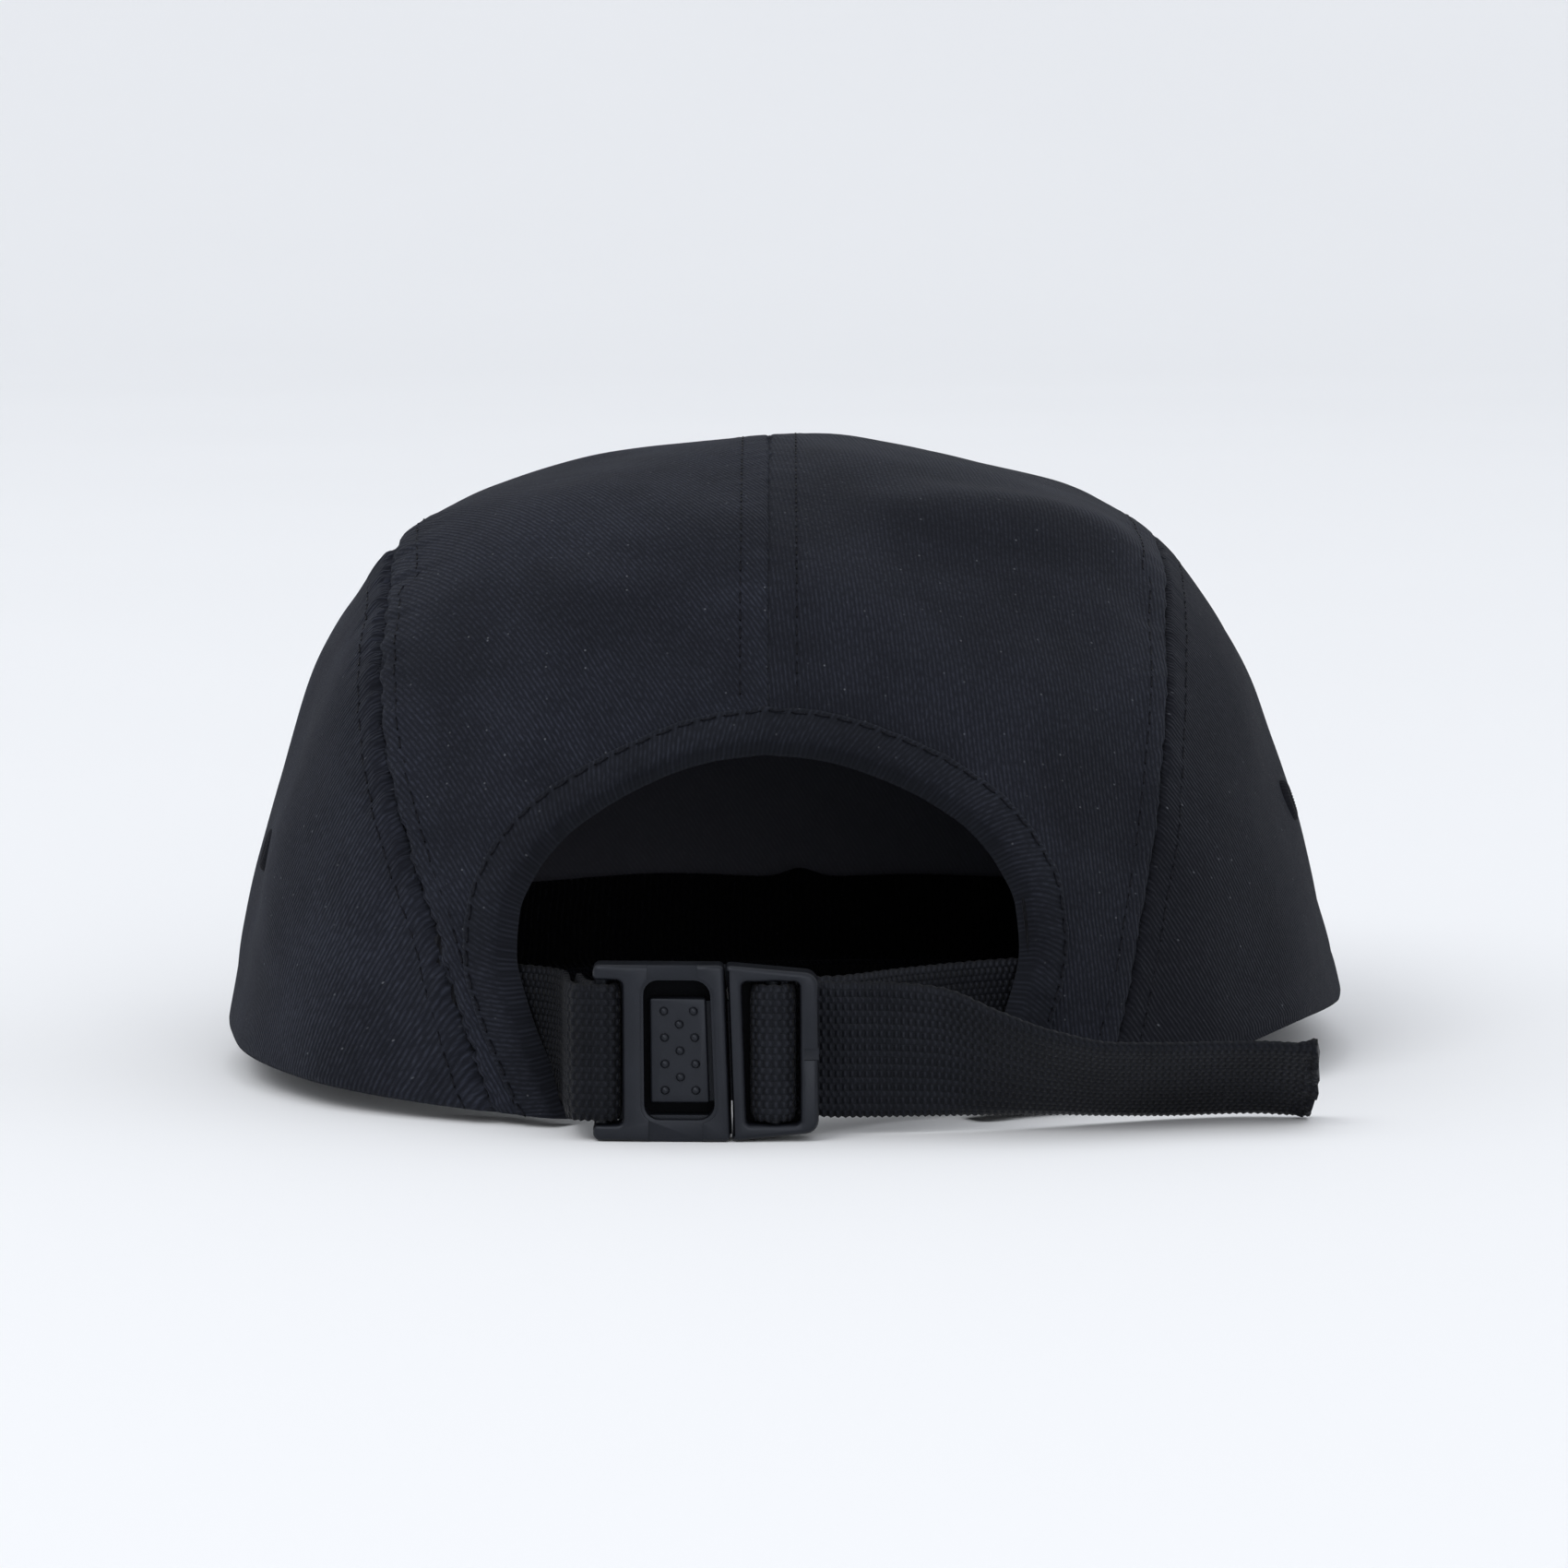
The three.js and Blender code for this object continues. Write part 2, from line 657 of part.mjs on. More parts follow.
const barY = buckleFaceY - buckleThickness / 2;
const socketBarX = buckleCentreX + socketWidth - socketBarRadius - barInset;
const insertBarX = buckleCentreX - insertWidth * 0.5;
const foldedRadius = (barRadius) => barRadius + clearance + webbingThickness / 2;

// Middle of the space just inside the crown's rim at a distance across, for a strap's sewn end.
function insideRim(x) {
  const turn = turnAtX(x, 0.15);
  const depth = clothThickness + bindingProud + clearance + sweatbandThickness + clearance;
  const point = crownPoint(turn, 0.15, depth + webbingThickness / 2 + clearance);
  return [point.x, point.y];
}

// Out of the cap, round the socket's bar, and back inside its own first layer.
function shortStrap() {
  const footX = openingCentreX + openingHalfWidth * readTable(openingEdge, 'height', 'across', 0);
  const radius = foldedRadius(socketBarRadius);
  const edge = insideRim(footX + 2 * sweatbandBack);
  const layer = webbingThickness;
  const nearX = socketBarX + 3 * layer;
  const path = [
    insideRim(footX + 11.5 * layer),
    edge,
    [footX - 0.35 * layer, edge[1] + 4.3 * layer],
    [nearX, barY + 0.3 * layer],
    ...roundBar(socketBarX, barY, radius, 60, 300),
    [nearX - 1.2 * layer, barY - 2.4 * layer],
    [footX - 2.3 * layer, edge[1] + 6.8 * layer],
  ];
  return ribbon(uprightStations(path, 48));
}

// Out of the cap, behind the insert, round its bar and out behind it as the free tail.
function longStrap() {
  const footX = openingCentreX - openingHalfWidth * readTable(openingEdge, 'height', 'across', 0);
  const radius = foldedRadius(insertBarRadius);
  const layer = webbingThickness;
  const edge = insideRim(footX - sweatbandBack);
  const behindY = buckleBackY - clearance - 3.35 * layer;
  const tailStartX = buckleCentreX - insertWidth - 0.3 * layer;
  const path = [
    insideRim(footX - 10 * layer),
    edge,
    [(footX + tailStartX) / 2, (edge[1] + behindY) / 2 + 0.43 * layer],
    [tailStartX - 1.4 * layer, behindY],
    [insertBarX, behindY + 0.15 * layer],
    ...roundBar(insertBarX, barY, radius, -40, 195),
    [insertBarX - radius + 0.07 * layer, barY - 1.86 * layer],
    [insertBarX - radius - 1.15 * layer, buckleBackY - clearance - 0.75 * layer],
  ];
  const stations = uprightStations(path, 84);
  return ribbon([...stations, ...tailStations(stations[stations.length - 1])]);
}

// The tail leaves the insert upright, twists its upper edge outwards and drops to the floor.
function tailStations(start) {
  const steps = 28;
  const stations = [];
  const width = webbingWidth - clearance;
  const blend = 0.06;
  for (let i = 1; i <= steps; i += 1) {
    const share = i / steps;
    const run = (column) => readTable(tailRun, 'along', column, share);
    const settle = Math.min(share / blend, 1);
    const lowY = start.low.y + (buckleFaceY - run('depth') * webbingWidth - start.low.y) * settle;
    const lean = run('lean') * webbingWidth * settle;
    const lift = run('lift') * webbingWidth;
    const lowZ = start.low.z + (lift - start.low.z) * settle;
    const rise = Math.sqrt(width * width - lean * lean);
    const x = start.low.x - tailLength * share;
    stations.push({
      low: new THREE.Vector3(x, lowY, lowZ),
      high: new THREE.Vector3(x, lowY + lean, lowZ + rise),
    });
  }
  return stations;
}

// Outline with chamfered corners, in x and z.
function chamferedOutline(x0, x1, z0, z1, cut) {
  return [
    [x0 + cut, z0],
    [x1 - cut, z0],
    [x1, z0 + cut],
    [x1, z1 - cut],
    [x1 - cut, z1],
    [x0 + cut, z1],
    [x0, z1 - cut],
    [x0, z0 + cut],
  ];
}

function bar(radius, x, z0, z1) {
  const geometry = new THREE.CylinderGeometry(radius, radius, z1 - z0, 12);
  geometry.rotateX(Math.PI / 2);
  geometry.translate(x, barY, (z0 + z1) / 2);
  return toSolid(geometry);
}

const buckleLow = buckleFloorGap;
const buckleHigh = buckleFloorGap + buckleHeight;
const windowLow = buckleLow + frameWall;
const windowHigh = buckleHigh - frameWall;
const tongueLow = windowLow + tongueMargin;
const tongueHigh = windowHigh - tongueMargin;
const windowX0 = buckleCentreX + windowInset;
const windowX1 = windowX0 + windowWidth;
const tongueBackY = buckleBackY + tongueDepth;
const strapTop = strapBase + webbingWidth;

// Box through the whole depth of the buckle.
function throughBuckle(x0, x1, z0, z1) {
  return box(x0, x1, buckleBackY - reach, buckleFaceY + reach, z0, z1);
}

// Socket: window for the press plate, a channel for the tongue's neck, and the strap's bar.
function buckleSocket() {
  const x0 = buckleCentreX + clearance / 2;
  const x1 = buckleCentreX + socketWidth;
  const outline = chamferedOutline(x0, x1, buckleLow, buckleHigh, socketCorner);
  const body = prismAlongY(outline, buckleBackY, buckleFaceY, socketBevel);
  const window = throughBuckle(windowX0, windowX1, windowLow, windowHigh);
  const strapWay = throughBuckle(windowX1 + stemWidth, x1 + reach, strapBase, strapTop);
  const low = tongueLow - clearance;
  const high = tongueHigh + clearance;
  const channelTop = tongueBackY + tongueThickness + clearance;
  const channel = box(x0 - reach, windowX0 + reach, tongueBackY - clearance, channelTop, low, high);
  const open = body.subtract(window).subtract(strapWay).subtract(channel);
  return open.add(bar(socketBarRadius, socketBarX, strapBase - reach, strapTop + reach));
}

// Insert: tapered frame with the strap's bar, and the tongue with its press plate.
function buckleInsert() {
  const x0 = buckleCentreX - insertWidth;
  const x1 = buckleCentreX - clearance / 2;
  const outline = [
    [x0 + insertCorner, buckleLow + insertTaper],
    [x1, buckleLow],
    [x1, buckleHigh],
    [x0 + insertCorner, buckleHigh - insertTaper],
    [x0, buckleHigh - insertTaper - insertCorner],
    [x0, buckleLow + insertTaper + insertCorner],
  ];
  const slot = throughBuckle(x0 + insertWall, x1 - insertWall, strapBase, strapTop);
  const frame = prismAlongY(outline, buckleBackY, buckleFaceY, insertBevel).subtract(slot);
  const centre = bar(insertBarRadius, insertBarX, strapBase - reach, strapTop + reach);
  const end = windowX1 - plateEndGap;
  const neckTop = tongueBackY + tongueThickness;
  const neck = box(x1 - reach, end, tongueBackY, neckTop, tongueLow, tongueHigh);
  const plateTop = buckleFaceY - plateDepth;
  const plate = box(windowX0 + plateStartGap, end, tongueBackY, plateTop, tongueLow, tongueHigh);
  return frame.add(centre).add(neck).add(plate);
}

function namedMesh(name, geometry, look) {
  const mesh = new THREE.Mesh(geometry, new THREE.MeshStandardMaterial(look));
  mesh.name = name;
  return mesh;
}

function buildCap() {
  const cap = new THREE.Group();
  const panels = crownPanels();
  for (const [name, solid] of Object.entries(panels)) {
    cap.add(namedMesh(name, toGeometry(solid), name === 'front_panel' ? lining : twill));
  }
  cap.add(namedMesh('visor', toGeometry(visor()), twill));
  cap.add(namedMesh('sweatband', toGeometry(sweatband()), bandCloth));
  cap.add(namedMesh('opening_binding', toGeometry(openingBinding()), tape));
  cap.add(namedMesh('eyelet_left', eyelet(1), thread));
  cap.add(namedMesh('eyelet_right', eyelet(-1), thread));
  cap.add(namedMesh('strap_short', toGeometry(shortStrap()), webbing));
  cap.add(namedMesh('strap_long', toGeometry(longStrap()), webbing));
  cap.add(namedMesh('buckle_socket', toGeometry(buckleSocket()), plastic));
  cap.add(namedMesh('buckle_insert', toGeometry(buckleInsert()), plastic));
  return cap;
}

// The cap stands on the floor with its origin under the middle of its box.
function placedCap() {
  const cap = buildCap();
  const bounds = new THREE.Box3().setFromObject(cap, true);
  const middle = bounds.getCenter(new THREE.Vector3());
  cap.position.set(-middle.x, -middle.y, -bounds.min.z);
  const placed = new THREE.Group();
  placed.add(cap);
  return placed;
}

export default placedCap();
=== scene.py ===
"""Dresses the five panel cap: cloth panels, seams, stitches, binding, webbing and buckle."""

import logging
import math
from collections.abc import Callable
from dataclasses import dataclass, field
from enum import Enum

import bmesh
import bpy
import numpy as np
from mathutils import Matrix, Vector


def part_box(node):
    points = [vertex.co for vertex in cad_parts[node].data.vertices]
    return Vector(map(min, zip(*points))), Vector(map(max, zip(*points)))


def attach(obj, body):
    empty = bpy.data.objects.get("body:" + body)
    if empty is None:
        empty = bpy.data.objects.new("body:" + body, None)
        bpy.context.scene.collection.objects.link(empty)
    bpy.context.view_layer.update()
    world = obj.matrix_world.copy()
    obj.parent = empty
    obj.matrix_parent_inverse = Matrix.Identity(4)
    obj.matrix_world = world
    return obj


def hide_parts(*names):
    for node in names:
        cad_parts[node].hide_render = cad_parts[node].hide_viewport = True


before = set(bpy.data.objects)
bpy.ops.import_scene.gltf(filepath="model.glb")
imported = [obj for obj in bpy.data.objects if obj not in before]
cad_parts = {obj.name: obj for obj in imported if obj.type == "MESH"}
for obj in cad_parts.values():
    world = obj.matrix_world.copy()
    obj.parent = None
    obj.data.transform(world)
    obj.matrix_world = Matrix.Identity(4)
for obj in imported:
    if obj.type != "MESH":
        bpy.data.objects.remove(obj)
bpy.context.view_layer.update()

log = logging.getLogger("cap")
MM = 0.001
FULL_TURN = 2 * math.pi
COOL_GLOSS = (0.82, 0.88, 1.0, 1)
Array = np.ndarray
Rows = list[dict[str, float]]
Pair = tuple[Array, Array]
Triple = tuple[float, float, float]
Path = list[tuple[float, float]]
Faces = list[tuple[int, ...]]
Piece = bpy.types.Object
Material = bpy.types.Material
Socket = bpy.types.NodeSocket


class Side(Enum):
    """A side of the cap, as seen by its wearer."""

    LEFT = 1
    RIGHT = -1

    @property
    def word(self) -> str:
        """The side's name in a piece's name."""
        return "left" if self is Side.LEFT else "right"


def table(columns: str, *rows: tuple[float, ...]) -> Rows:
    """A table's rows by the names of its columns, which spaces divide."""
    return [dict(zip(columns.split(), row, strict=True)) for row in rows]


def read_table(rows: Rows, key: str, column: str, at: Array) -> Array:
    """Reads one column of a table as a smooth curve that never swings past its rows.

    Args:
        rows: the table, in rising order of its key column.
        key: the column that positions are given in.
        column: the column to read.
        at: positions, held inside the table.

    Returns:
        The column's value at each position.
    """
    xs = np.array([row[key] for row in rows])
    ys = np.array([row[column] for row in rows])
    steps = np.diff(ys) / np.diff(xs)
    product = steps[:-1] * steps[1:]
    total = np.where(product > 0, steps[:-1] + steps[1:], 1.0)
    inner = np.where(product > 0, 2 * product / total, 0.0)
    slopes = np.concatenate([steps[:1], inner, steps[-1:]])
    place = np.clip(np.asarray(at, float), xs[0], xs[-1])
    i = np.clip(np.searchsorted(xs, place, side="right") - 1, 0, len(xs) - 2)
    span = xs[i + 1] - xs[i]
    t = (place - xs[i]) / span
    start = (1 + 2 * t) * (1 - t) ** 2 * ys[i] + t * (1 - t) ** 2 * span * slopes[i]
    end = t * t * (3 - 2 * t) * ys[i + 1] + t * t * (t - 1) * span * slopes[i + 1]
    return start + end


def unit(vectors: Array) -> Array:
    """Vectors scaled to a length of one."""
    return vectors / np.maximum(np.linalg.norm(vectors, axis=-1, keepdims=True), 1e-12)


def run_along(points: Array) -> Array:
    """Distance from the start of a line to each of its points."""
    return np.concatenate([[0], np.cumsum(np.linalg.norm(np.diff(points, axis=0), axis=1))])


def halve(low: Array, high: Array, too_low: Callable, count: int = 30) -> Array:
    """Finds values between two bounds by halving.

    Args:
        low: the lower bounds.
        high: the upper bounds.
        too_low: tells for an array of values which of them are too low.
        count: how often the bounds are halved.

    Returns:
        The values.
    """
    for _ in range(count):
        middle = (low + high) / 2
        below = too_low(middle)
        low, high = np.where(below, middle, low), np.where(below, high, middle)
    return (low + high) / 2


def soft_step(value: Array, low: float, high: float) -> Array:
    """Rises smoothly from 0 at low to 1 at high."""
    t = np.clip((value - low) / (high - low), 0, 1)
    return t * t * (3 - 2 * t)


def drape(points: Array, seed: int, shortest: float, longest: float, count: int) -> Array:
    """Soft random waves over space, between about -1 and 1.

    Args:
        points: places in metres.
        seed: picks the waves.
        shortest: shortest wave in metres.
        longest: longest wave in metres.
        count: how many waves are added up.

    Returns:
        One value for each point.
    """
    draw = np.random.default_rng(seed)
    total = np.zeros(len(points))
    for _ in range(count):
        direction = unit(draw.normal(size=3))
        wave = shortest * (longest / shortest) ** draw.random()
        total += np.sin(points @ direction * (FULL_TURN / wave) + draw.random() * FULL_TURN)
    return total / math.sqrt(count)


@dataclass
class CrownForm:
    """The crown's smooth form: sections from hem to top, its seams, its opening and its folds."""

    half_width: float = 90.7 * MM
    half_length: float = 94 * MM
    height: float = 99.4 * MM
    skew: float = 12 * MM
    lean: float = 2.2 * MM
    opening_half_width: float = 40.5 * MM
    opening_height: float = 56.9 * MM
    opening_centre: float = 2.4 * MM
    opening_foot_share: float = 0.78
    lift_back: float = 0.8 * MM
    lift_left: float = 6.2 * MM
    lift_right: float = 8 * MM
    lift_right_back: float = 9.5 * MM
    lift_front: float = 3.3 * MM
    origin: Array = field(default_factory=lambda: np.zeros(3))

    # Heights are shares of the crown's height, the other lengths shares of its half width or length.
    SECTIONS = table(
        "height side back front square",
        (0.0, 1.0, 1.0, 1.0, 2.3),
        (0.15, 0.978, 0.985, 0.99, 2.3),
        (0.3, 0.945, 0.955, 0.97, 2.35),
        (0.45, 0.895, 0.905, 0.94, 2.4),
        (0.6, 0.84, 0.83, 0.905, 2.45),
        (0.72, 0.77, 0.735, 0.865, 2.5),
        (0.8, 0.708, 0.655, 0.825, 2.5),
        (0.86, 0.637, 0.56, 0.77, 2.5),
        (0.905, 0.54, 0.455, 0.69, 2.5),
        (0.94, 0.42, 0.35, 0.56, 2.45),
        (0.97, 0.29, 0.24, 0.39, 2.4),
        (0.99, 0.15, 0.13, 0.2, 2.2),
        (1.0, 0.0, 0.0, 0.0, 2.0),
    )
    SIDE_SEAM = table(
        "height left right",
        (0.0, 0.475, 0.53),
        (0.1, 0.52, 0.565),
        (0.25, 0.575, 0.61),
        (0.42, 0.64, 0.645),
        (0.6, 0.69, 0.665),
        (0.78, 0.7, 0.675),
        (0.88, 0.675, 0.66),
        (1.05, 0.665, 0.65),
    )
    FRONT_SEAM = table(
        "height ahead",
        (0.0, 0.42),
        (0.3, 0.47),
        (0.6, 0.55),
        (0.85, 0.62),
        (1.05, 0.64),
    )
    OPENING_EDGE = table(
        "height across",
        (-0.2, 0.78),
        (0.0, 0.78),
        (0.14, 0.86),
        (0.3, 0.95),
        (0.45, 1.0),
        (0.57, 0.985),
        (0.68, 0.915),
        (0.78, 0.8),
        (0.87, 0.62),
        (0.95, 0.37),
        (0.985, 0.19),
        (1.0, 0.0),
    )
    # At each turn, what share of each of the hem's five lifts counts.
    HEM = table(
        "turn left back right_back right front",
        (0.0, 1, 0, 0, 0, 0),
        (0.08, 0.7, 0.4, 0, 0, 0),
        (0.16, 0.26, 1, 0, 0, 0),
        (0.22, 0, 1, 0, 0, 0),
        (0.3, 0, 1, 0.05, 0, 0),
        (0.42, 0, 0, 1, 0, 0),
        (0.5, 0, 0, 0, 1, 0),
        (0.6, 0, 0, 0, 0.5, 0.5),
        (0.7, 0, 0, 0, 0, 1),
        (0.85, 0, 0, 0, 0, 1),
        (0.93, 0, 0, 0, 0, 1.05),
        (1.0, 1, 0, 0, 0, 0),
    )
    # Each fold runs from place a to place b; its half width and its rise are in millimetres.
    FOLDS = table(
        "turn_a up_a turn_b up_b half rise",
        (0.33, 0.66, 0.415, 0.57, 9, 1.8),
        (0.31, 0.54, 0.39, 0.47, 13, -1.5),
        (0.19, 0.3, 0.2, 0.5, 12, -1.2),
        (0.165, 0.12, 0.175, 0.5, 8, 0.9),
        (0.35, 0.1, 0.36, 0.4, 10, -1.2),
        (0.03, 0.15, 0.06, 0.45, 14, -1.1),
    )

    @property
    def foot(self) -> float:
        """Half the opening's width at the hem."""
        return self.opening_half_width * self.opening_foot_share

    def section(self, column: str, up: Array) -> Array:
        """Reads a column of the sections at a share of the way up."""
        rows = [{**row, "up": i / (len(self.SECTIONS) - 1)} for i, row in enumerate(self.SECTIONS)]
        return read_table(rows, "up", column, up)

    def hem_lift(self, turn: Array) -> Array:
        """Height of the hem above the floor at each turn.

        Args:
            turn: shares of a full turn.

        Returns:
            Heights in metres.
        """
        place = turn - np.floor(turn)
        lifts = {
            "left": self.lift_left,
            "back": self.lift_back,
            "right_back": self.lift_right_back,
            "right": self.lift_right,
            "front": self.lift_front,
        }
        return sum(lift * read_table(self.HEM, "turn", name, place) for name, lift in lifts.items())

    def smooth(self, turn: Array, up: Array) -> Array:
        """Points of the crown before its folds.

        Args:
            turn: shares of a full turn from the left side through the back.
            up: shares of the way from the hem to the top.

        Returns:
            An array of points in the crown's own frame.
        """
        turn, up = np.broadcast_arrays(np.asarray(turn, float), np.asarray(up, float))
        across, along = np.cos(turn * FULL_TURN), np.sin(turn * FULL_TURN)
        ends = np.where(along > 0, self.section("back", up), self.section("front", up))
        wide = np.maximum(self.half_width * self.section("side", up), 1e-9)
        long = np.maximum(self.half_length * ends, 1e-9)
        power = self.section("square", up)
        spread = (np.abs(across) / wide) ** power + (np.abs(along) / long) ** power
        radius = spread ** (-1 / power)
        share = self.section("height", up)
        first = 1 / (len(self.SECTIONS) - 1)
        z = self.height * share + self.hem_lift(turn) * np.maximum(0, 1 - up / first)
        x = radius * across + self.lean * (share - 0.5)
        y = radius * along + self.skew * across * self.section("side", up)
        return np.stack([x, y, z], -1)

    def normal(self, turn: Array, up: Array) -> Array:
        """Outward directions of the smooth crown.

        Args:
            turn: shares of a full turn.
            up: shares of the way up.

        Returns:
            One direction for each place.
        """
        step = 0.004
        low = self.smooth(turn, np.maximum(up - step, 0))
        high = self.smooth(turn, np.minimum(up + step, 1 - 1e-4))
        back, ahead = self.smooth(turn - step, up), self.smooth(turn + step, up)
        flat = np.array([0.0, 0.0, 1.0])
        found = unit(np.cross(ahead - back, high - low))
        return np.where((up > 1 - 2 * step)[..., None], flat, found)

    def fold_rise(self, points: Array) -> Array:
        """How far the soft folds push the cloth out at each point.

        Args:
            points: places on the smooth crown.

        Returns:
            Distances in metres.
        """
        rise = np.zeros(points.shape[:-1])
        for fold in self.FOLDS:
            a = self.smooth(fold["turn_a"], fold["up_a"])
            run = self.smooth(fold["turn_b"], fold["up_b"]) - a
            share = np.clip((points - a) @ run / (run @ run), 0, 1)
            away = np.linalg.norm(points - a - share[..., None] * run, axis=-1)
            rise += fold["rise"] * MM * np.exp(-((away / (fold["half"] * MM)) ** 2))
        return rise

    def place(self, turn: Array, up: Array, depth: float | Array = 0.0) -> Array:
        """Points of the folded cloth at a depth inside its outer face."""
        smooth = self.smooth(turn, up)
        push = self.fold_rise(smooth) - depth
        return smooth + self.normal(turn, up) * push[..., None]

    def up_at(self, turn: Array, z: Array) -> Array:
        """The way up at which the crown reaches a height."""
        low, high = np.zeros(np.shape(z)), np.ones(np.shape(z))
        return halve(low, high, lambda up: self.smooth(turn, up)[..., 2] < z)

    def back_turn(self, x: Array, up: Array) -> Array:
        """The turn on the back half at which the crown passes a distance across."""
        low, high = np.zeros(np.shape(x)), np.full(np.shape(x), 0.5)
        return halve(low, high, lambda turn: self.smooth(turn, up)[..., 0] > x)

    def back_place(self, x: Array, z: Array) -> Pair:
        """The turn and way up of points on the back, given across and height.

        Args:
            x: distances across.
            z: heights.

        Returns:
            The turns and the ways up.
        """
        turn = np.full(np.shape(x), 0.25)
        up = self.up_at(turn, z)
        for _ in range(4):
            turn = self.back_turn(x, up)
            up = self.up_at(turn, z)
        return turn, up

    def seam_across(self, side: Side, z: Array) -> Array:
        """Distance of a side seam from the middle at a height."""
        return read_table(self.SIDE_SEAM, "height", side.word, z / self.height) * self.half_width

    def front_ahead(self, z: Array) -> Array:
        """Distance of the front panel's seam ahead of the middle at a height."""
        return read_table(self.FRONT_SEAM, "height", "ahead", z / self.height) * self.half_length

    def opening_width(self, z: Array, outset: float) -> Array:
        """Half width of the opening, moved outwards, at a height; below zero above its crest."""
        tall = self.opening_height + outset
        wide = read_table(self.OPENING_EDGE, "height", "across", z / tall)
        return np.where(z > tall, tall - z, wide * (self.opening_half_width + outset))

    def opening_path(self, count: int) -> Pair:
        """The opening's edge from its left foot over the crest to its right foot.

        Args:
            count: how many evenly spaced points.

        Returns:
            Points as across and height, and the directions away from the hole.
        """
        share = 1 - (1 - np.linspace(0, 1, 400)) ** 2
        low = 0.005
        height = low + (1 - low) * share
        wide = read_table(self.OPENING_EDGE, "height", "across", height) * self.opening_half_width
        half = np.stack([wide, height * self.opening_height], -1)
        mirrored = half[:-1][::-1] * [-1, 1]
        whole = np.concatenate([half, mirrored])
        run = run_along(whole)
        even = np.linspace(0, run[-1], count)
        points = np.stack([np.interp(even, run, whole[:, k]) for k in (0, 1)], -1)
        along = np.gradient(points, axis=0)
        away = unit(np.stack([along[:, 1], -along[:, 0]], -1))
        return points + [self.opening_centre, 0], away


@dataclass
class Skin:
    """An open skin of cloth as points, their outward directions and faces."""

    points: Array
    normals: Array
    faces: Faces

    def trimmed(self, values: Array) -> "Skin":
        """The part of the skin where the value is above zero, cut cleanly through its faces.

        Args:
            values: one value for each point; the cut runs where it is zero.

        Returns:
            The trimmed skin, without unused points.
        """
        keep = values > 0
        points, normals = list(self.points), list(self.normals)
        crossings: dict[tuple[int, int], int] = {}

        def crossing(a: int, b: int) -> int:
            """The new point where the cut crosses an edge.

            Args:
                a: number of the edge's one end.
                b: number of its other end.

            Returns:
                The new point's number.
            """
            key = (min(a, b), max(a, b))
            if key not in crossings:
                p, q = key
                t = float(np.clip(values[p] / (values[p] - values[q]), 0.02, 0.98))
                points.append(self.points[p] * (1 - t) + self.points[q] * t)
                normals.append(self.normals[p] * (1 - t) + self.normals[q] * t)
                crossings[key] = len(points) - 1
            return crossings[key]

        faces: Faces = []
        for face in self.faces:
            inside = [keep[i] for i in face]
            if all(inside):
                faces.append(face)
                continue
            if not any(inside):
                continue
            cut = []
            for k, i in enumerate(face):
                j = face[(k + 1) % len(face)]
                if keep[i]:
                    cut.append(i)
                if keep[i] != keep[j]:
                    cut.append(crossing(i, j))
            if len(cut) > 2:
                faces.append(tuple(cut))
        used = sorted({i for face in faces for i in face})
        new = {old: k for k, old in enumerate(used)}
        packed = [tuple(new[i] for i in face) for face in faces]
        return Skin(np.array(points)[used], unit(np.array(normals)[used]), packed)


def grid_faces(rows: int, columns: int, closed: bool = False, start: int = 0) -> Faces:
    """Quads of a grid of points laid out row by row.

    Args:
        rows: number of rows of points.
        columns: number of points in a row.
        closed: whether each row joins its own start.
        start: number of the first point.

    Returns:
        The faces.
    """
    faces = []
    for r in range(rows - 1):
        for c in range(columns if closed else columns - 1):
            d = (c + 1) % columns
            a, b = start + r * columns, start + (r + 1) * columns
            faces.append((a + c, a + d, b + d, b + c))
    return faces


def make_object(name: str, points: Array, faces: Faces) -> Piece:
    """Makes a smooth shaded mesh object at the origin.

    Args:
        name: the piece's name.
        points: its points in metres.
        faces: its faces.

    Returns:
        The object.
    """
    mesh = bpy.data.meshes.new(name)
    mesh.from_pydata([tuple(map(float, p)) for p in points], [], faces)
    mesh.validate()
    mesh.shade_smooth()
    made = bpy.data.objects.new(name, mesh)
    bpy.context.scene.collection.objects.link(made)
    return made


def select_only(piece: Piece) -> None:
    """Selects one object and makes it active."""
    bpy.ops.object.select_all(action="DESELECT")
    piece.select_set(True)
    bpy.context.view_layer.objects.active = piece


def add_mesh(operator: Callable, name: str, **settings: object) -> Piece:
    """Adds a mesh by one of Blender's own operators and names it."""
    bpy.ops.object.select_all(action="DESELECT")
    operator(**settings)
    made = bpy.context.active_object
    made.name = name
    return made


def apply_modifier(piece: Piece, kind: str, **settings: object) -> None:
    """Adds a modifier with its settings and applies it."""
    select_only(piece)
    added = piece.modifiers.new(kind.lower(), kind)
    for setting, value in settings.items():
        setattr(added, setting, value)
    bpy.ops.object.modifier_apply(modifier=added.name)


def edit_whole(piece: Piece) -> None:
    """Opens a piece in edit mode with its whole mesh selected."""
    select_only(piece)
    bpy.ops.object.mode_set(mode="EDIT")
    bpy.ops.mesh.select_all(action="SELECT")


def leave_edit() -> None:
    """Goes back from edit mode to object mode."""
    bpy.ops.object.mode_set(mode="OBJECT")


def face_outwards(piece: Piece, merge: bool = True) -> None:
    """Turns all faces outwards, after merging doubled points unless told not to.

    Args:
        piece: the piece to turn right.
        merge: whether doubled points are merged.
    """
    edit_whole(piece)
    if merge:
        bpy.ops.mesh.remove_doubles(threshold=1e-6)
    bpy.ops.mesh.normals_make_consistent(inside=False)
    leave_edit()


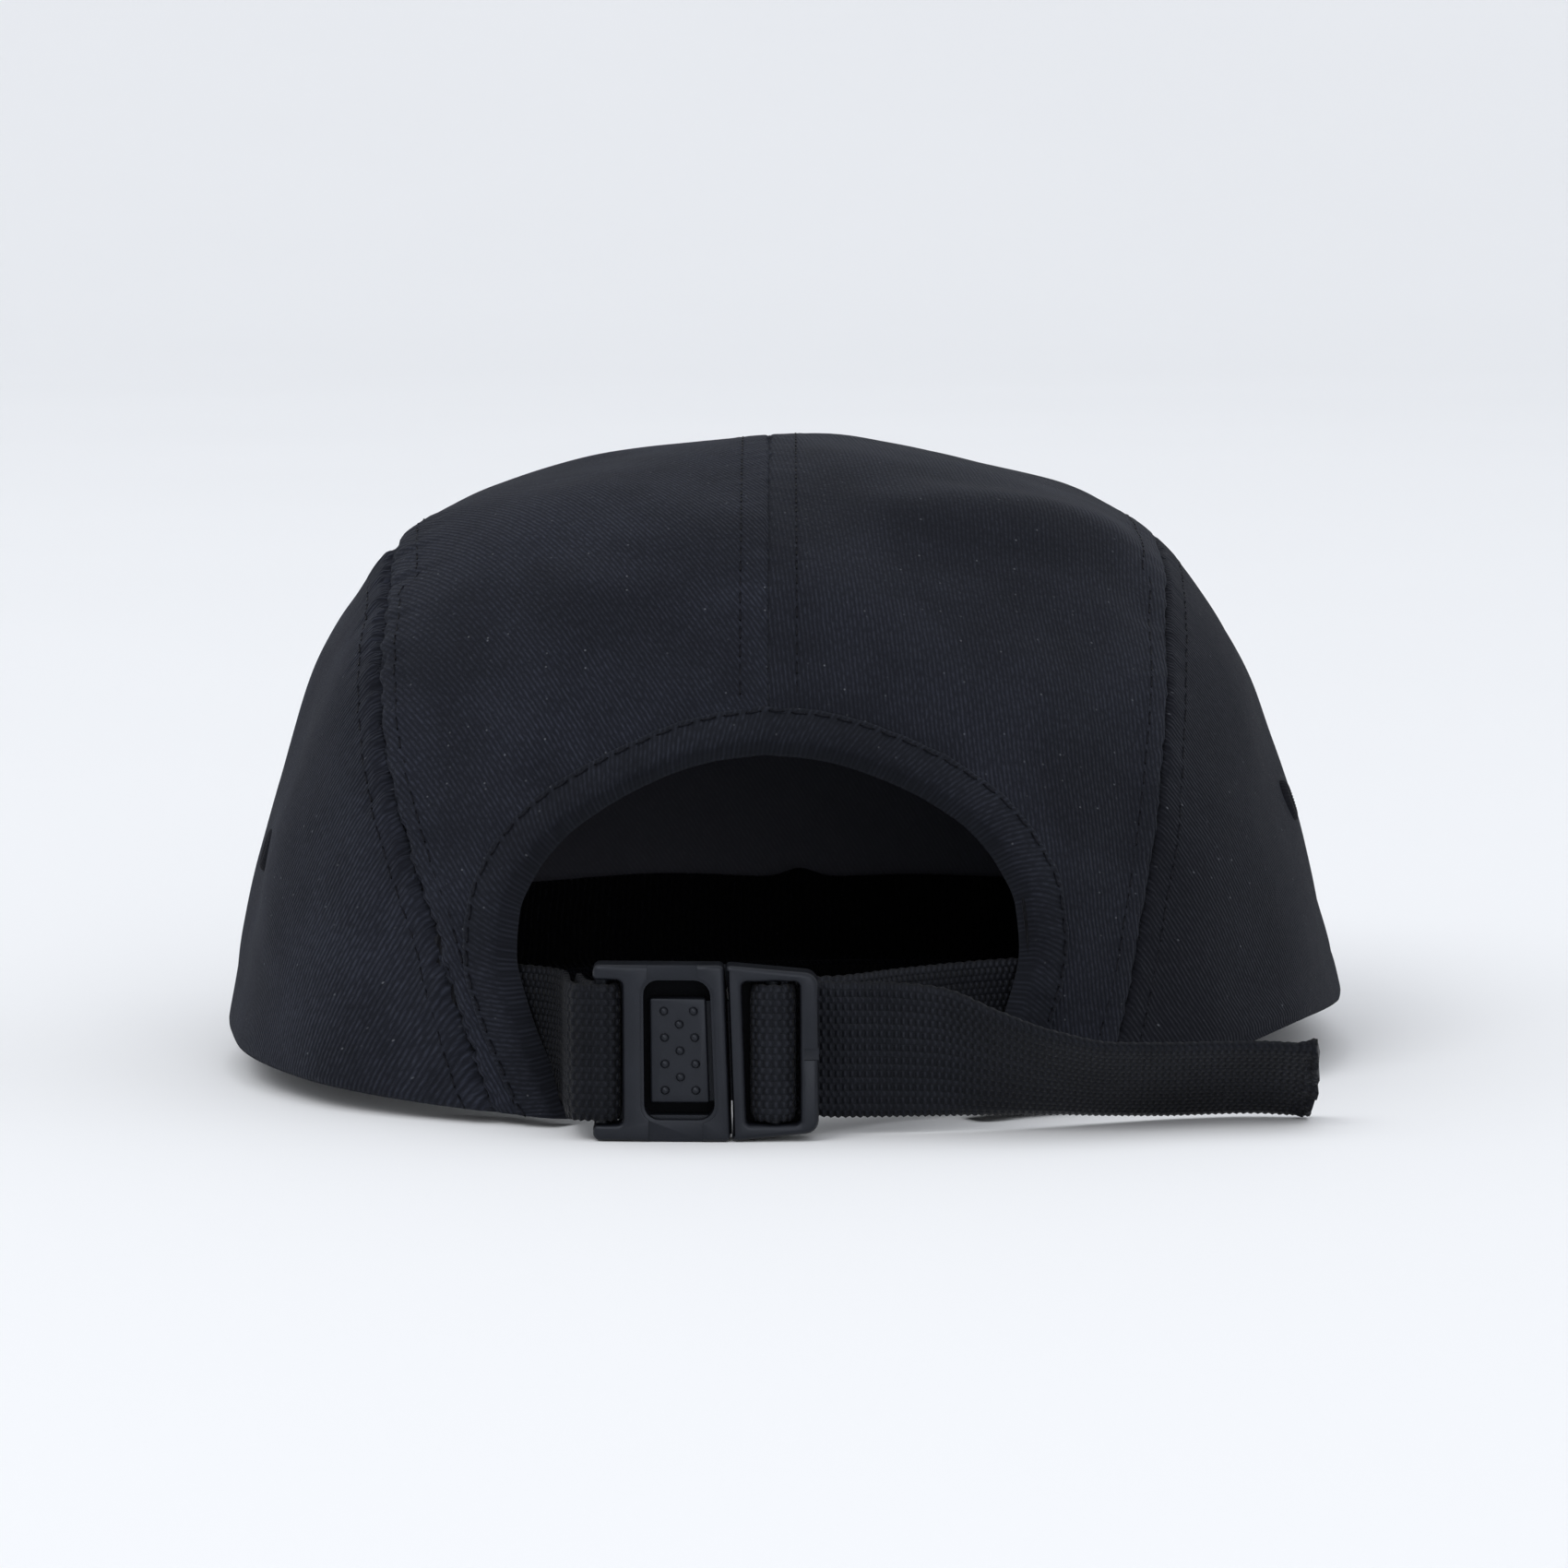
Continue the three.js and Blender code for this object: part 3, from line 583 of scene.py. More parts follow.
def set_uv(piece: Piece, place: Array) -> None:
    """Gives each corner the cloth coordinates of its point, in metres."""
    layer = piece.data.uv_layers.new(name="cloth")
    corners = np.zeros(len(piece.data.loops), int)
    piece.data.loops.foreach_get("vertex_index", corners)
    layer.data.foreach_set("uv", place[corners].astype(np.float32).ravel())


def mesh_points(piece: Piece) -> Array:
    """The points of a piece's mesh."""
    found = np.zeros(len(piece.data.vertices) * 3, np.float32)
    piece.data.vertices.foreach_get("co", found)
    return found.reshape(-1, 3).astype(float)


def set_points(piece: Piece, points: Array) -> None:
    """Moves the points of a piece's mesh."""
    piece.data.vertices.foreach_set("co", points.astype(np.float32).ravel())
    piece.data.update()


def dress(piece: Piece, material: Material, slot: str, *nodes: str) -> None:
    """Gives a piece its material and its body, and hides the nodes that it stands for."""
    piece.data.materials.clear()
    piece.data.materials.append(material)
    seat(piece, slot, *nodes)


def seat(piece: Piece, slot: str, *nodes: str) -> None:
    """Rests a piece on the floor, fastens it to the cap's only body and hides the nodes that it
    stands for.

    Args:
        piece: the piece.
        slot: not used.
        nodes: the solid model's nodes that it stands for.
    """
    points = mesh_points(piece)
    points[:, 2] = np.maximum(points[:, 2], 0.02 * MM)
    set_points(piece, points)
    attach(piece, "root")
    if nodes:
        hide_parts(*nodes)
    log.info("%s: %d faces", piece.name, len(piece.data.polygons))


class NodeTree:
    """Short ways to add and join shader nodes."""

    def __init__(self, tree: bpy.types.NodeTree) -> None:
        """Keeps the tree that nodes are added to."""
        self.tree = tree

    def add(self, kind: str, **settings: object) -> bpy.types.Node:
        """Adds a node and sets its properties."""
        node = self.tree.nodes.new(kind)
        for name, value in settings.items():
            setattr(node, name, value)
        return node

    def feed(self, node: bpy.types.Node, **inputs: object) -> bpy.types.Node:
        """Links or fills a node's inputs, named with _ for a space or in_N for the Nth one.

        Args:
            node: the node.
            inputs: sockets to link or values to set.

        Returns:
            The same node.
        """
        for name, value in inputs.items():
            key: int | str = int(name[3:]) if name.startswith("in_") else name.replace("_", " ")
            socket = node.inputs[key]
            if isinstance(value, bpy.types.NodeSocket):
                self.tree.links.new(value, socket)
            else:
                socket.default_value = value
        return node

    def math(self, operation: str, a: object, b: object = 0.0, clamp: bool = False) -> Socket:
        """A math node's result."""
        node = self.add("ShaderNodeMath", operation=operation, use_clamp=clamp)
        self.feed(node, in_0=a, in_1=b)
        return node.outputs[0]

    def times(self, a: object, b: object, clamp: bool = False) -> Socket:
        """The product of two values."""
        return self.math("MULTIPLY", a, b, clamp)

    def plus(self, a: object, b: object) -> Socket:
        """The sum of two values."""
        return self.math("ADD", a, b)

    def mix(self, share: object, a: object, b: object) -> Socket:
        """A colour mixed between two."""
        node = self.add("ShaderNodeMix", data_type="RGBA")
        self.feed(node, in_0=share, in_6=a, in_7=b)
        return node.outputs[2]

    def noise(self, place: object, scale: float, detail: float = 2.0) -> Socket:
        """A noise texture's value."""
        node = self.feed(self.add("ShaderNodeTexNoise"), Vector=place, Scale=scale, Detail=detail)
        return node.outputs["Fac"]

    def remap(self, value: object, low: float, high: float) -> Socket:
        """A value stretched so that low becomes 0 and high 1, held between them."""
        node = self.add("ShaderNodeMapRange")
        self.feed(node, Value=value, From_Min=low, From_Max=high)
        return node.outputs[0]

    def bump(
        self, shader: bpy.types.Node, height: Socket, reach: float, strength: float = 1.0
    ) -> None:
        """Raises and sinks a shader's surface by a height that reaches so many metres."""
        node = self.add("ShaderNodeBump")
        self.feed(node, Height=height, Distance=reach, Strength=strength)
        self.feed(shader, Normal=node.outputs[0])


def new_group(
    name: str, inputs: dict[str, str], outputs: dict[str, str]
) -> tuple[NodeTree, bpy.types.Node, bpy.types.Node]:
    """Starts a shader node group with named sockets.

    Args:
        name: the group's name.
        inputs: socket names to their kinds.
        outputs: socket names to their kinds.

    Returns:
        The tree, its input node and its output node.
    """
    tree = bpy.data.node_groups.new(name, "ShaderNodeTree")
    for socket, kind in inputs.items():
        tree.interface.new_socket(socket, in_out="INPUT", socket_type=kind)
    for socket, kind in outputs.items():
        tree.interface.new_socket(socket, in_out="OUTPUT", socket_type=kind)
    nodes = NodeTree(tree)
    return nodes, nodes.add("NodeGroupInput"), nodes.add("NodeGroupOutput")


def twill_group() -> bpy.types.NodeTree:
    """Diagonal ribs of twill, crossed by finer threads, as a height and a tone.

    Returns:
        The node group.
    """
    if "twill weave" in bpy.data.node_groups:
        return bpy.data.node_groups["twill weave"]
    number, vector = "NodeSocketFloat", "NodeSocketVector"
    nodes, given, result = new_group(
        "twill weave",
        {"Place": vector, "Turn": number, "Rib Pitch": number},
        {"Height": number, "Tone": number},
    )
    turned = nodes.add("ShaderNodeVectorRotate", rotation_type="Z_AXIS")
    nodes.feed(turned, Vector=given.outputs["Place"], Angle=given.outputs["Turn"])
    wander = nodes.noise(turned.outputs[0], 200.0, 3.0)
    drift = nodes.times(nodes.math("SUBTRACT", wander, 0.5), 3.4)
    parts = nodes.feed(nodes.add("ShaderNodeSeparateXYZ"), Vector=turned.outputs[0])
    cycles = nodes.math("DIVIDE", 1.0, given.outputs["Rib Pitch"])
    across = nodes.times(parts.outputs[0], cycles)
    rib_place = nodes.plus(nodes.times(across, FULL_TURN), drift)
    rib = nodes.times(nodes.plus(nodes.math("SINE", rib_place), 1.0), 0.5)
    along = nodes.times(nodes.times(parts.outputs[1], cycles), 0.5)
    spread = nodes.feed(nodes.add("ShaderNodeCombineXYZ"), X=nodes.times(across, 1.1), Y=along)
    dash = nodes.remap(nodes.noise(spread.outputs[0], 1.3, 2.0), 0.38, 0.68)
    floats = nodes.times(rib, nodes.plus(nodes.times(dash, 0.95), 0.15))
    fuzz = nodes.times(nodes.noise(given.outputs["Place"], 2400.0, 2.0), 0.4)
    height = nodes.plus(nodes.plus(floats, nodes.times(rib, 0.35)), fuzz)
    tone = nodes.plus(floats, nodes.times(fuzz, 0.4))
    nodes.feed(result, Height=height, Tone=tone)
    return nodes.tree


def lint_group() -> bpy.types.NodeTree:
    """Tiny specks of lint, and broad wear, as masks.

    Returns:
        The node group.
    """
    if "lint and wear" in bpy.data.node_groups:
        return bpy.data.node_groups["lint and wear"]
    number, vector = "NodeSocketFloat", "NodeSocketVector"
    nodes, given, result = new_group(
        "lint and wear", {"Place": vector, "Cloth": vector}, {"Lint": number, "Wear": number}
    )
    place = given.outputs["Place"]
    cells = nodes.add("ShaderNodeTexVoronoi", voronoi_dimensions="2D")
    nodes.feed(cells, Vector=given.outputs["Cloth"], Scale=330.0, Randomness=1.0)
    speck = nodes.remap(cells.outputs["Distance"], 0.065, 0.025)
    colour = nodes.feed(nodes.add("ShaderNodeSeparateXYZ"), Vector=cells.outputs["Color"])
    chosen = nodes.math("POWER", nodes.remap(colour.outputs[0], 0.6, 1.0), 2.5)
    smudge = nodes.times(nodes.noise(place, 36.0, 2.0), 0.6)
    wear = nodes.plus(smudge, nodes.times(nodes.noise(place, 110.0, 4.0), 0.4))
    nodes.feed(result, Lint=nodes.times(speck, chosen), Wear=wear)
    return nodes.tree


def new_material(name: str) -> tuple[Material, NodeTree, bpy.types.Node]:
    """Starts a material and returns it with its node tree and its Principled shader."""
    material = bpy.data.materials.new(name)
    material.use_nodes = True
    nodes = NodeTree(material.node_tree)
    return material, nodes, material.node_tree.nodes["Principled BSDF"]


def place_group(nodes: NodeTree, tree: bpy.types.NodeTree, **inputs: object) -> bpy.types.Node:
    """Places a node group in a material and fills its inputs."""
    node = nodes.add("ShaderNodeGroup", node_tree=tree)
    return nodes.feed(node, **inputs)


@dataclass(frozen=True)
class Cloth:
    """Black cotton cloth with twill ribs, a soft sheen and a few specks of lint."""

    name: str
    dark: Triple
    light: Triple
    turn: float = 0.9
    rib_pitch: float = 0.68 * MM
    relief: float = 0.13 * MM
    lint: float = 0.55
    sheen: float = 0.035
    roughness: float = 0.9
    specular: float = 0.1

    def build(self) -> Material:
        """Makes the material.

        Returns:
            The material.
        """
        material, nodes, shader = new_material(self.name)
        cloth = nodes.add("ShaderNodeUVMap", uv_map="cloth").outputs[0]
        solid = nodes.add("ShaderNodeTexCoord").outputs["Object"]
        weave = place_group(nodes, twill_group(), Place=cloth, Turn=self.turn)
        nodes.feed(weave, Rib_Pitch=self.rib_pitch)
        specks = place_group(nodes, lint_group(), Place=solid, Cloth=cloth)
        worn = nodes.remap(specks.outputs["Wear"], 0.4, 0.6)
        faded = nodes.plus(nodes.times(worn, 0.54), 0.52)
        lifted = nodes.plus(nodes.times(weave.outputs["Tone"], 0.9), 0.18)
        tone = nodes.times(lifted, faded, clamp=True)
        base = nodes.mix(tone, (*self.dark, 1), (*self.light, 1))
        lint_share = nodes.times(specks.outputs["Lint"], self.lint)
        nodes.feed(shader, Base_Color=nodes.mix(lint_share, base, (0.16, 0.17, 0.19, 1)))
        nodes.bump(shader, weave.outputs["Height"], self.relief)
        nodes.feed(shader, Roughness=self.roughness, Specular_IOR_Level=self.specular)
        nodes.feed(shader, Sheen_Weight=self.sheen, Sheen_Roughness=0.55)
        nodes.feed(shader, Sheen_Tint=(0.75, 0.82, 1.0, 1))
        return material


@dataclass(frozen=True)
class Webbing:
    """Black woven webbing: cords along its length, crossed by ribs."""

    name: str
    dark: Triple = (0.0014, 0.0016, 0.0024)
    light: Triple = (0.0135, 0.0145, 0.0195)
    rib_pitch: float = 1.1 * MM
    cord_pitch: float = 1.0 * MM
    relief: float = 0.3 * MM

    def build(self) -> Material:
        """Makes the material.

        Returns:
            The material.
        """
        material, nodes, shader = new_material(self.name)
        cloth = nodes.add("ShaderNodeUVMap", uv_map="cloth").outputs[0]
        parts = nodes.feed(nodes.add("ShaderNodeSeparateXYZ"), Vector=cloth)
        wander = nodes.times(nodes.noise(cloth, 420.0, 3.0), 1.8)
        across = nodes.times(parts.outputs[1], math.pi / self.cord_pitch)
        along = nodes.times(parts.outputs[0], FULL_TURN / self.rib_pitch)
        cord = nodes.math("POWER", nodes.math("ABSOLUTE", nodes.math("SINE", across)), 0.6)
        row = nodes.math("FLOOR", nodes.math("DIVIDE", parts.outputs[1], self.cord_pitch))
        shifted = nodes.plus(along, nodes.times(row, math.pi))
        wave = nodes.math("SINE", nodes.plus(shifted, wander))
        rib = nodes.times(nodes.plus(wave, 1.0), 0.5)
        bumps = nodes.times(nodes.math("POWER", rib, 1.4), cord)
        ground = nodes.times(nodes.plus(nodes.math("SINE", along), 1.0), 0.2)
        fuzz = nodes.times(nodes.noise(cloth, 5200.0, 2.0), 0.3)
        whole = nodes.plus(nodes.plus(bumps, ground), fuzz)
        worn = nodes.remap(nodes.noise(cloth, 90.0, 3.0), 0.3, 0.7)
        faded = nodes.plus(nodes.times(worn, 0.5), 0.4)
        tone = nodes.times(whole, faded, clamp=True)
        base = nodes.mix(tone, (*self.dark, 1), (*self.light, 1))
        nodes.feed(shader, Base_Color=base)
        nodes.bump(shader, whole, self.relief)
        nodes.feed(shader, Roughness=0.5, Sheen_Weight=0.02)
        nodes.feed(shader, Specular_IOR_Level=0.12, Specular_Tint=COOL_GLOSS)
        return material


@dataclass(frozen=True)
class Plastic:
    """Dark grey matt moulded plastic with a fine spark-eroded grain and broad, uneven tone."""

    name: str
    colour: Triple = (0.0052, 0.0057, 0.0078)
    specular: float = 0.3

    def build(self) -> Material:
        """Makes the material.

        Returns:
            The material.
        """
        material, nodes, shader = new_material(self.name)
        solid = nodes.add("ShaderNodeTexCoord").outputs["Object"]
        grain = nodes.noise(solid, 5200.0, 2.0)
        broad = nodes.noise(solid, 240.0, 4.0)
        paler = tuple(c * 1.5 for c in self.colour)
        base = nodes.mix(nodes.remap(broad, 0.35, 0.75), (*self.colour, 1), (*paler, 1))
        nodes.feed(shader, Base_Color=base)
        rough = nodes.plus(nodes.times(broad, 0.12), 0.33)
        nodes.feed(shader, Roughness=rough)
        nodes.bump(shader, grain, 0.025 * MM, 0.8)
        nodes.feed(shader, Specular_IOR_Level=self.specular, Specular_Tint=COOL_GLOSS)
        return material


@dataclass(frozen=True)
class Thread:
    """Twisted black sewing thread."""

    name: str
    colour: Triple = (0.0024, 0.0027, 0.0045)

    def build(self) -> Material:
        """Makes the material.

        Returns:
            The material.
        """
        material, nodes, shader = new_material(self.name)
        solid = nodes.add("ShaderNodeTexCoord").outputs["Object"]
        strands = nodes.noise(solid, 3800.0, 2.0)
        paler = tuple(c * 2.4 for c in self.colour)
        nodes.feed(shader, Base_Color=nodes.mix(strands, (*self.colour, 1), (*paler, 1)))
        nodes.bump(shader, strands, 0.08 * MM, 0.8)
        nodes.feed(shader, Roughness=0.7, Specular_IOR_Level=0.12)
        return material


class Finishes:
    """The cap's materials, each made once."""

    def __init__(self) -> None:
        """Makes every material."""
        # The left and front panels share a lighter twill, the right panels darker copies of it:
        # painted light on the left, painted shade on the right, deepest on the right side.
        black, lit_twill = (0.0028, 0.0032, 0.0052), (0.0216, 0.0243, 0.0357)
        shaded, shaded_side = (0.0174, 0.0194, 0.0283), (0.0102, 0.011, 0.0155)
        self.twill_left = self.twill("left", black, lit_twill, -31)
        self.twill_right = self.twill("right", black, shaded, -6)
        self.twill_side_left = self.twill("left side", black, lit_twill, 14)
        self.twill_side_right = self.twill("right side", black, shaded_side, 20)
        self.twill_front = self.twill("front", black, lit_twill, -31)
        grey = (0.082, 0.084, 0.105), (0.1, 0.103, 0.127)
        plain = {"turn": 0.6, "relief": 0.03 * MM, "lint": 0.05}
        self.lining = Cloth("grey front lining", *grey, **plain).build()
        self.band = Cloth(
            "black sweatband",
            (0.0022, 0.0022, 0.0028),
            (0.0055, 0.0055, 0.0075),
            turn=0.0,
            rib_pitch=1.3 * MM,
            relief=0.3 * MM,
            lint=0.05,
        ).build()
        self.tape = Cloth(
            "black bias tape",
            (0.0032, 0.0037, 0.0055),
            (0.0155, 0.0174, 0.025),
            turn=math.radians(24),
            relief=0.06 * MM,
            lint=0.3,
        ).build()
        self.webbing = Webbing("black webbing").build()
        # The short strap gets a darker copy of the webbing: painted shade.
        shade_tones = (0.0009, 0.001, 0.0015), (0.0075, 0.008, 0.011)
        self.shaded_webbing = Webbing("webbing in painted shade", *shade_tones).build()
        self.plastic = Plastic("dark grey plastic").build()
        # Near-black plastic for the sheets behind the buckle's window and slot: painted shade.
        self.shadow = Plastic("painted shade plastic", (0.0012, 0.0012, 0.0015), 0.04).build()
        self.thread = Thread("black thread").build()

    def twill(self, place: str, dark: Triple, light: Triple, degrees: float) -> Material:
        """The black twill of one place, its ribs turned by degrees; its tones carry that place's
        painted light and shade.
        """
        return Cloth(f"black twill {place}", dark, light, turn=math.radians(degrees)).build()


@dataclass
class Seam:
    """How a seam draws the cloth in: its groove, its raised allowance and its puckers."""

    groove: float = 0.5 * MM
    groove_half: float = 0.42 * MM
    raise_by: float = 0.2 * MM
    allowance: float = 5.0 * MM
    stitch_at: float = 4.3 * MM
    dimple: float = 0.16 * MM
    pucker: float = 0.14 * MM
    pucker_reach: float = 6.5 * MM
    ragged: float = 0.15 * MM
    seed: int = 1

    def wander(self, along: Array) -> Array:
        """Uneven waves along the seam.

        Args:
            along: places along the seam, in metres.

        Returns:
            Values between about -1 and 1.
        """
        draw = np.random.default_rng(self.seed)
        total = np.zeros(np.shape(along))
        for pitch in (3.9, 5.3, 7.1, 9.7, 13.0, 19.0):
            wave = np.sin(along * FULL_TURN / (pitch * MM) + draw.random() * 7)
            total += wave * draw.uniform(0.5, 1)
        return total / 2.2

    def relief(self, away: Array, along: Array) -> Array:
        """Height of the cloth over its smooth form.

        Args:
            away: signed distance from the seam, in metres.
            along: place along the seam, in metres.

        Returns:
            The relief in metres.
        """
        far = np.abs(away)
        band = 1 - soft_step(far, self.allowance - 0.5 * MM, self.allowance + 0.9 * MM)
        drift = self.ragged * self.wander(along * 1.7 + 3 * MM)
        groove = np.exp(-(((away - drift) / self.groove_half) ** 2))
        groove *= 1 + 0.45 * self.wander(along * 2.3)
        dimple = np.exp(-(((far - self.stitch_at) / (0.5 * MM)) ** 2))
        skewed = along + np.sign(away) * 2.5 * MM + far * 0.5
        wave = self.wander(skewed)
        reach = np.exp(-((far / self.pucker_reach) ** 2)) * (1 - 0.5 * groove)
        stitched = 0.7 + 0.3 * np.sin(along * FULL_TURN / (3.5 * MM))
        return (
            self.raise_by * band
            - self.groove * groove
            - self.dimple * dimple * stitched
            + self.pucker * wave * reach
        )


class Crown:
    """The five panels, cut from one fine skin along the seams."""

    COLUMNS = 560
    ROWS = 156
    WALL = 1.1 * MM
    OPENING_OUTSET = 2.2 * MM

    def __init__(self, form: CrownForm) -> None:
        """Keeps the form and names its seams.

        Args:
            form: the crown's smooth form.
        """
        self.form = form
        self.seams = {
            "left": Seam(1.5 * MM, 0.75 * MM, pucker=0.4 * MM, ragged=0.6 * MM, seed=3),
            "right": Seam(groove=0.6 * MM, pucker=0.15 * MM, seed=4),
            "centre": Seam(0.36 * MM, 0.35 * MM, raise_by=0.12 * MM, pucker=0.07 * MM, seed=5),
            "front": Seam(groove=0.4 * MM, pucker=0.12 * MM, seed=6),
        }

    def skin(self) -> Skin:
        """The whole smooth skin, before its folds and seams.

        Returns:
            The skin, closed over its top.
        """
        turns = np.arange(self.COLUMNS) / self.COLUMNS
        ups = np.linspace(0, 1, self.ROWS + 1)[:-1]
        up, turn = np.meshgrid(ups, turns, indexing="ij")
        points = self.form.smooth(turn, up).reshape(-1, 3)
        normals = self.form.normal(turn, up).reshape(-1, 3)
        faces = grid_faces(self.ROWS, self.COLUMNS, closed=True)
        last = (self.ROWS - 1) * self.COLUMNS
        apex = self.form.smooth(np.array([0.0]), np.array([1.0]))
        apex[0, 0] = self.form.lean / 2
        points = np.concatenate([points, apex])
        normals = np.concatenate([normals, [[0, 0, 1]]])
        top = len(points) - 1
        faces += [(last + c, last + (c + 1) % self.COLUMNS, top) for c in range(self.COLUMNS)]
        return Skin(points, normals, faces)

    def seam_distances(self, points: Array, normals: Array) -> dict[str, Array]:
        """Signed distances over the cloth from each seam.

        Args:
            points: places on the crown.
            normals: outward directions there.

        Returns:
            The distances, by the seam's name.
        """
        x, y, z = points.T
        lean_x = np.sqrt(np.maximum(1 - normals[:, 0] ** 2, 0.15))
        lean_y = np.sqrt(np.maximum(1 - normals[:, 1] ** 2, 0.15))
        return {
            "left": (x - self.form.seam_across(Side.LEFT, z)) / lean_x,
            "right": (-x - self.form.seam_across(Side.RIGHT, z)) / lean_x,
            "centre": (x - self.form.opening_centre) / lean_x,
            "front": (y + self.form.front_ahead(z)) / lean_y,
        }

    def relieved(self, skin: Skin) -> Array:
        """The skin's points with its folds, seams, puckers and soft waves.

        Args:
            skin: a share of the crown's smooth skin.

        Returns:
            The points in the crown's own frame.
        """
        points, normals = skin.points, skin.normals
        away = self.seam_distances(points, normals)
        x, y, z = points.T
        behind = soft_step(away["front"], -1 * MM, 1 * MM)
        rise = self.form.fold_rise(points)
        rise += drape(points, seed=5, shortest=24 * MM, longest=70 * MM, count=14) * 0.45 * MM
        rise += drape(points, seed=8, shortest=9 * MM, longest=20 * MM, count=14) * 0.06 * MM
        for name in ("left", "right"):
            rise += self.seams[name].relief(away[name], z - y) * behind
        between = soft_step(-np.maximum(away["left"], away["right"]), 0, 3 * MM)
        rise += self.seams["centre"].relief(away["centre"], z - y) * behind * between
        rise += self.seams["front"].relief(away["front"], x + 0.4 * z)
        hem = z - self.form.hem_lift(np.arctan2(y, x) / FULL_TURN)
        rise -= 0.7 * MM * np.exp(-((np.maximum(hem, 0) / (0.9 * MM)) ** 2))
        return points + normals * rise[:, None]

    def panel(self, name: str, skin: Skin, kind: str, cloths: tuple[Material, ...]) -> None:
        """Makes one panel as a closed wall of cloth with its own cloth coordinates.

        Args:
            name: the panel's node.
            skin: the panel's share of the crown's skin.
            kind: "side" where the cloth runs along the side of the cap.
            cloths: the outer and the inner cloth.
        """
        outer = self.relieved(skin) + self.form.origin
        piece = make_object(f"crown_{name}", outer, skin.faces)
        for cloth in cloths:
            piece.data.materials.append(cloth)
        inwards = {"offset": -1.0, "use_even_offset": False, "material_offset": 1}
        apply_modifier(piece, "SOLIDIFY", thickness=self.WALL, **inwards)
        x, y, z = skin.points.T
        if kind == "side":
            flat = np.stack([y, z + np.abs(x) * 0.3], -1)
        else:
            flat = np.stack([x, -np.arctan2(z - 10 * MM, y) * 84 * MM], -1)
        copies = len(piece.data.vertices) // len(flat)
        set_uv(piece, np.tile(flat, (copies, 1)))
        seat(piece, "twill", name)

    def build(self, finishes: Finishes) -> None:
        """Builds and dresses the five panels.

        Args:
            finishes: the cap's materials.
        """
        form, whole = self.form, self.skin()
        x, y, z = whole.points.T
        beside = np.abs(x - form.opening_centre) - form.opening_width(z, self.OPENING_OUTSET)
        opened = whole.trimmed(np.where(y > 0, beside, 1.0))
        front_edge = opened.points[:, 1] + form.front_ahead(opened.points[:, 2])
        front, behind = opened.trimmed(-front_edge), opened.trimmed(front_edge)
        self.panel("front_panel", front, "front", (finishes.twill_front, finishes.lining))
        for side in Side:
            across = side.value * behind.points[:, 0] - form.seam_across(side, behind.points[:, 2])
            cloth = finishes.twill_side_left if side is Side.LEFT else finishes.twill_side_right
            self.panel(f"side_panel_{side.word}", behind.trimmed(across), "side", (cloth, cloth))
            inside = behind.trimmed(-across)
            middle = side.value * (inside.points[:, 0] - form.opening_centre)
            cloth = finishes.twill_left if side is Side.LEFT else finishes.twill_right
            self.panel(f"top_panel_{side.word}", inside.trimmed(middle), "top", (cloth, cloth))


def rounded_stitch() -> tuple[Array, Faces]:
    """One stitch of unit length and thickness along X, as a short rounded bar.

    Returns:
        Its points and faces.
    """
    rings, around = [(-0.5, 0.0), (-0.36, 0.42), (0.0, 0.5), (0.36, 0.42), (0.5, 0.0)], 6
    points = [(-0.5, 0.0, 0.0)]
    for along, radius in rings[1:-1]:
        for k in range(around):
            angle = FULL_TURN * k / around
            points.append((along, radius * math.cos(angle), radius * math.sin(angle)))
    points.append((0.5, 0.0, 0.0))
    faces = grid_faces(3, around, closed=True, start=1)
    last = len(points) - 1
    faces = [tuple(reversed(face)) for face in faces]
    faces += [(0, 1 + (k + 1) % around, 1 + k) for k in range(around)]
    end = 1 + 2 * around
    faces += [(last, end + k, end + (k + 1) % around) for k in range(around)]
    return np.array(points), faces


@dataclass
class StitchRow:
    """A row of machine stitches along a line on the cloth."""

    length: float = 2.7 * MM
    gap: float = 0.8 * MM
    thickness: float = 0.37 * MM

    def lay(self, line: Array, normals: Array) -> tuple[Array, Faces]:
        """Lays stitches along a line.

        Args:
            line: points on the cloth.
            normals: outward directions there.

        Returns:
            Points and faces of all the stitches.
        """
        unit_points, unit_faces = rounded_stitch()
        run = run_along(line)
        starts = np.arange(0, run[-1] - self.length, self.length + self.gap)
        points, faces = [], []
        for n, start in enumerate(starts):
            reach = [start, start + self.length]
            ends = np.stack([np.interp(reach, run, line[:, k]) for k in range(3)], -1)
            middle_at = start + self.length / 2
            out = unit(np.array([np.interp(middle_at, run, normals[:, k]) for k in range(3)]))
            middle = np.array([np.interp(middle_at, run, line[:, k]) for k in range(3)])
            along = unit(ends[1] - ends[0])
            across = unit(np.cross(out, along))
            wide, tall = across * self.thickness, out * self.thickness * 0.8
            axes = np.stack([along * self.length, wide, tall])
            points.append(unit_points @ axes + middle + out * self.thickness * 0.02)
            shift = n * len(unit_points)
            faces += [tuple(i + shift for i in face) for face in unit_faces]
        return np.concatenate(points), faces

    def sew(self, name: str, lines: list[Pair], thread: Material) -> None:
        """Makes the stitches of several lines as one piece.

        Args:
            name: the piece's name.
            lines: each line's points and outward directions.
            thread: the stitches' material.
        """
        points, faces = [], []
        for line, normals in lines:
            more, found = self.lay(line, normals)
            shift = sum(len(p) for p in points)
            faces += [tuple(i + shift for i in face) for face in found]
            points.append(more)
        dress(make_object(name, np.concatenate(points), faces), thread, "thread")


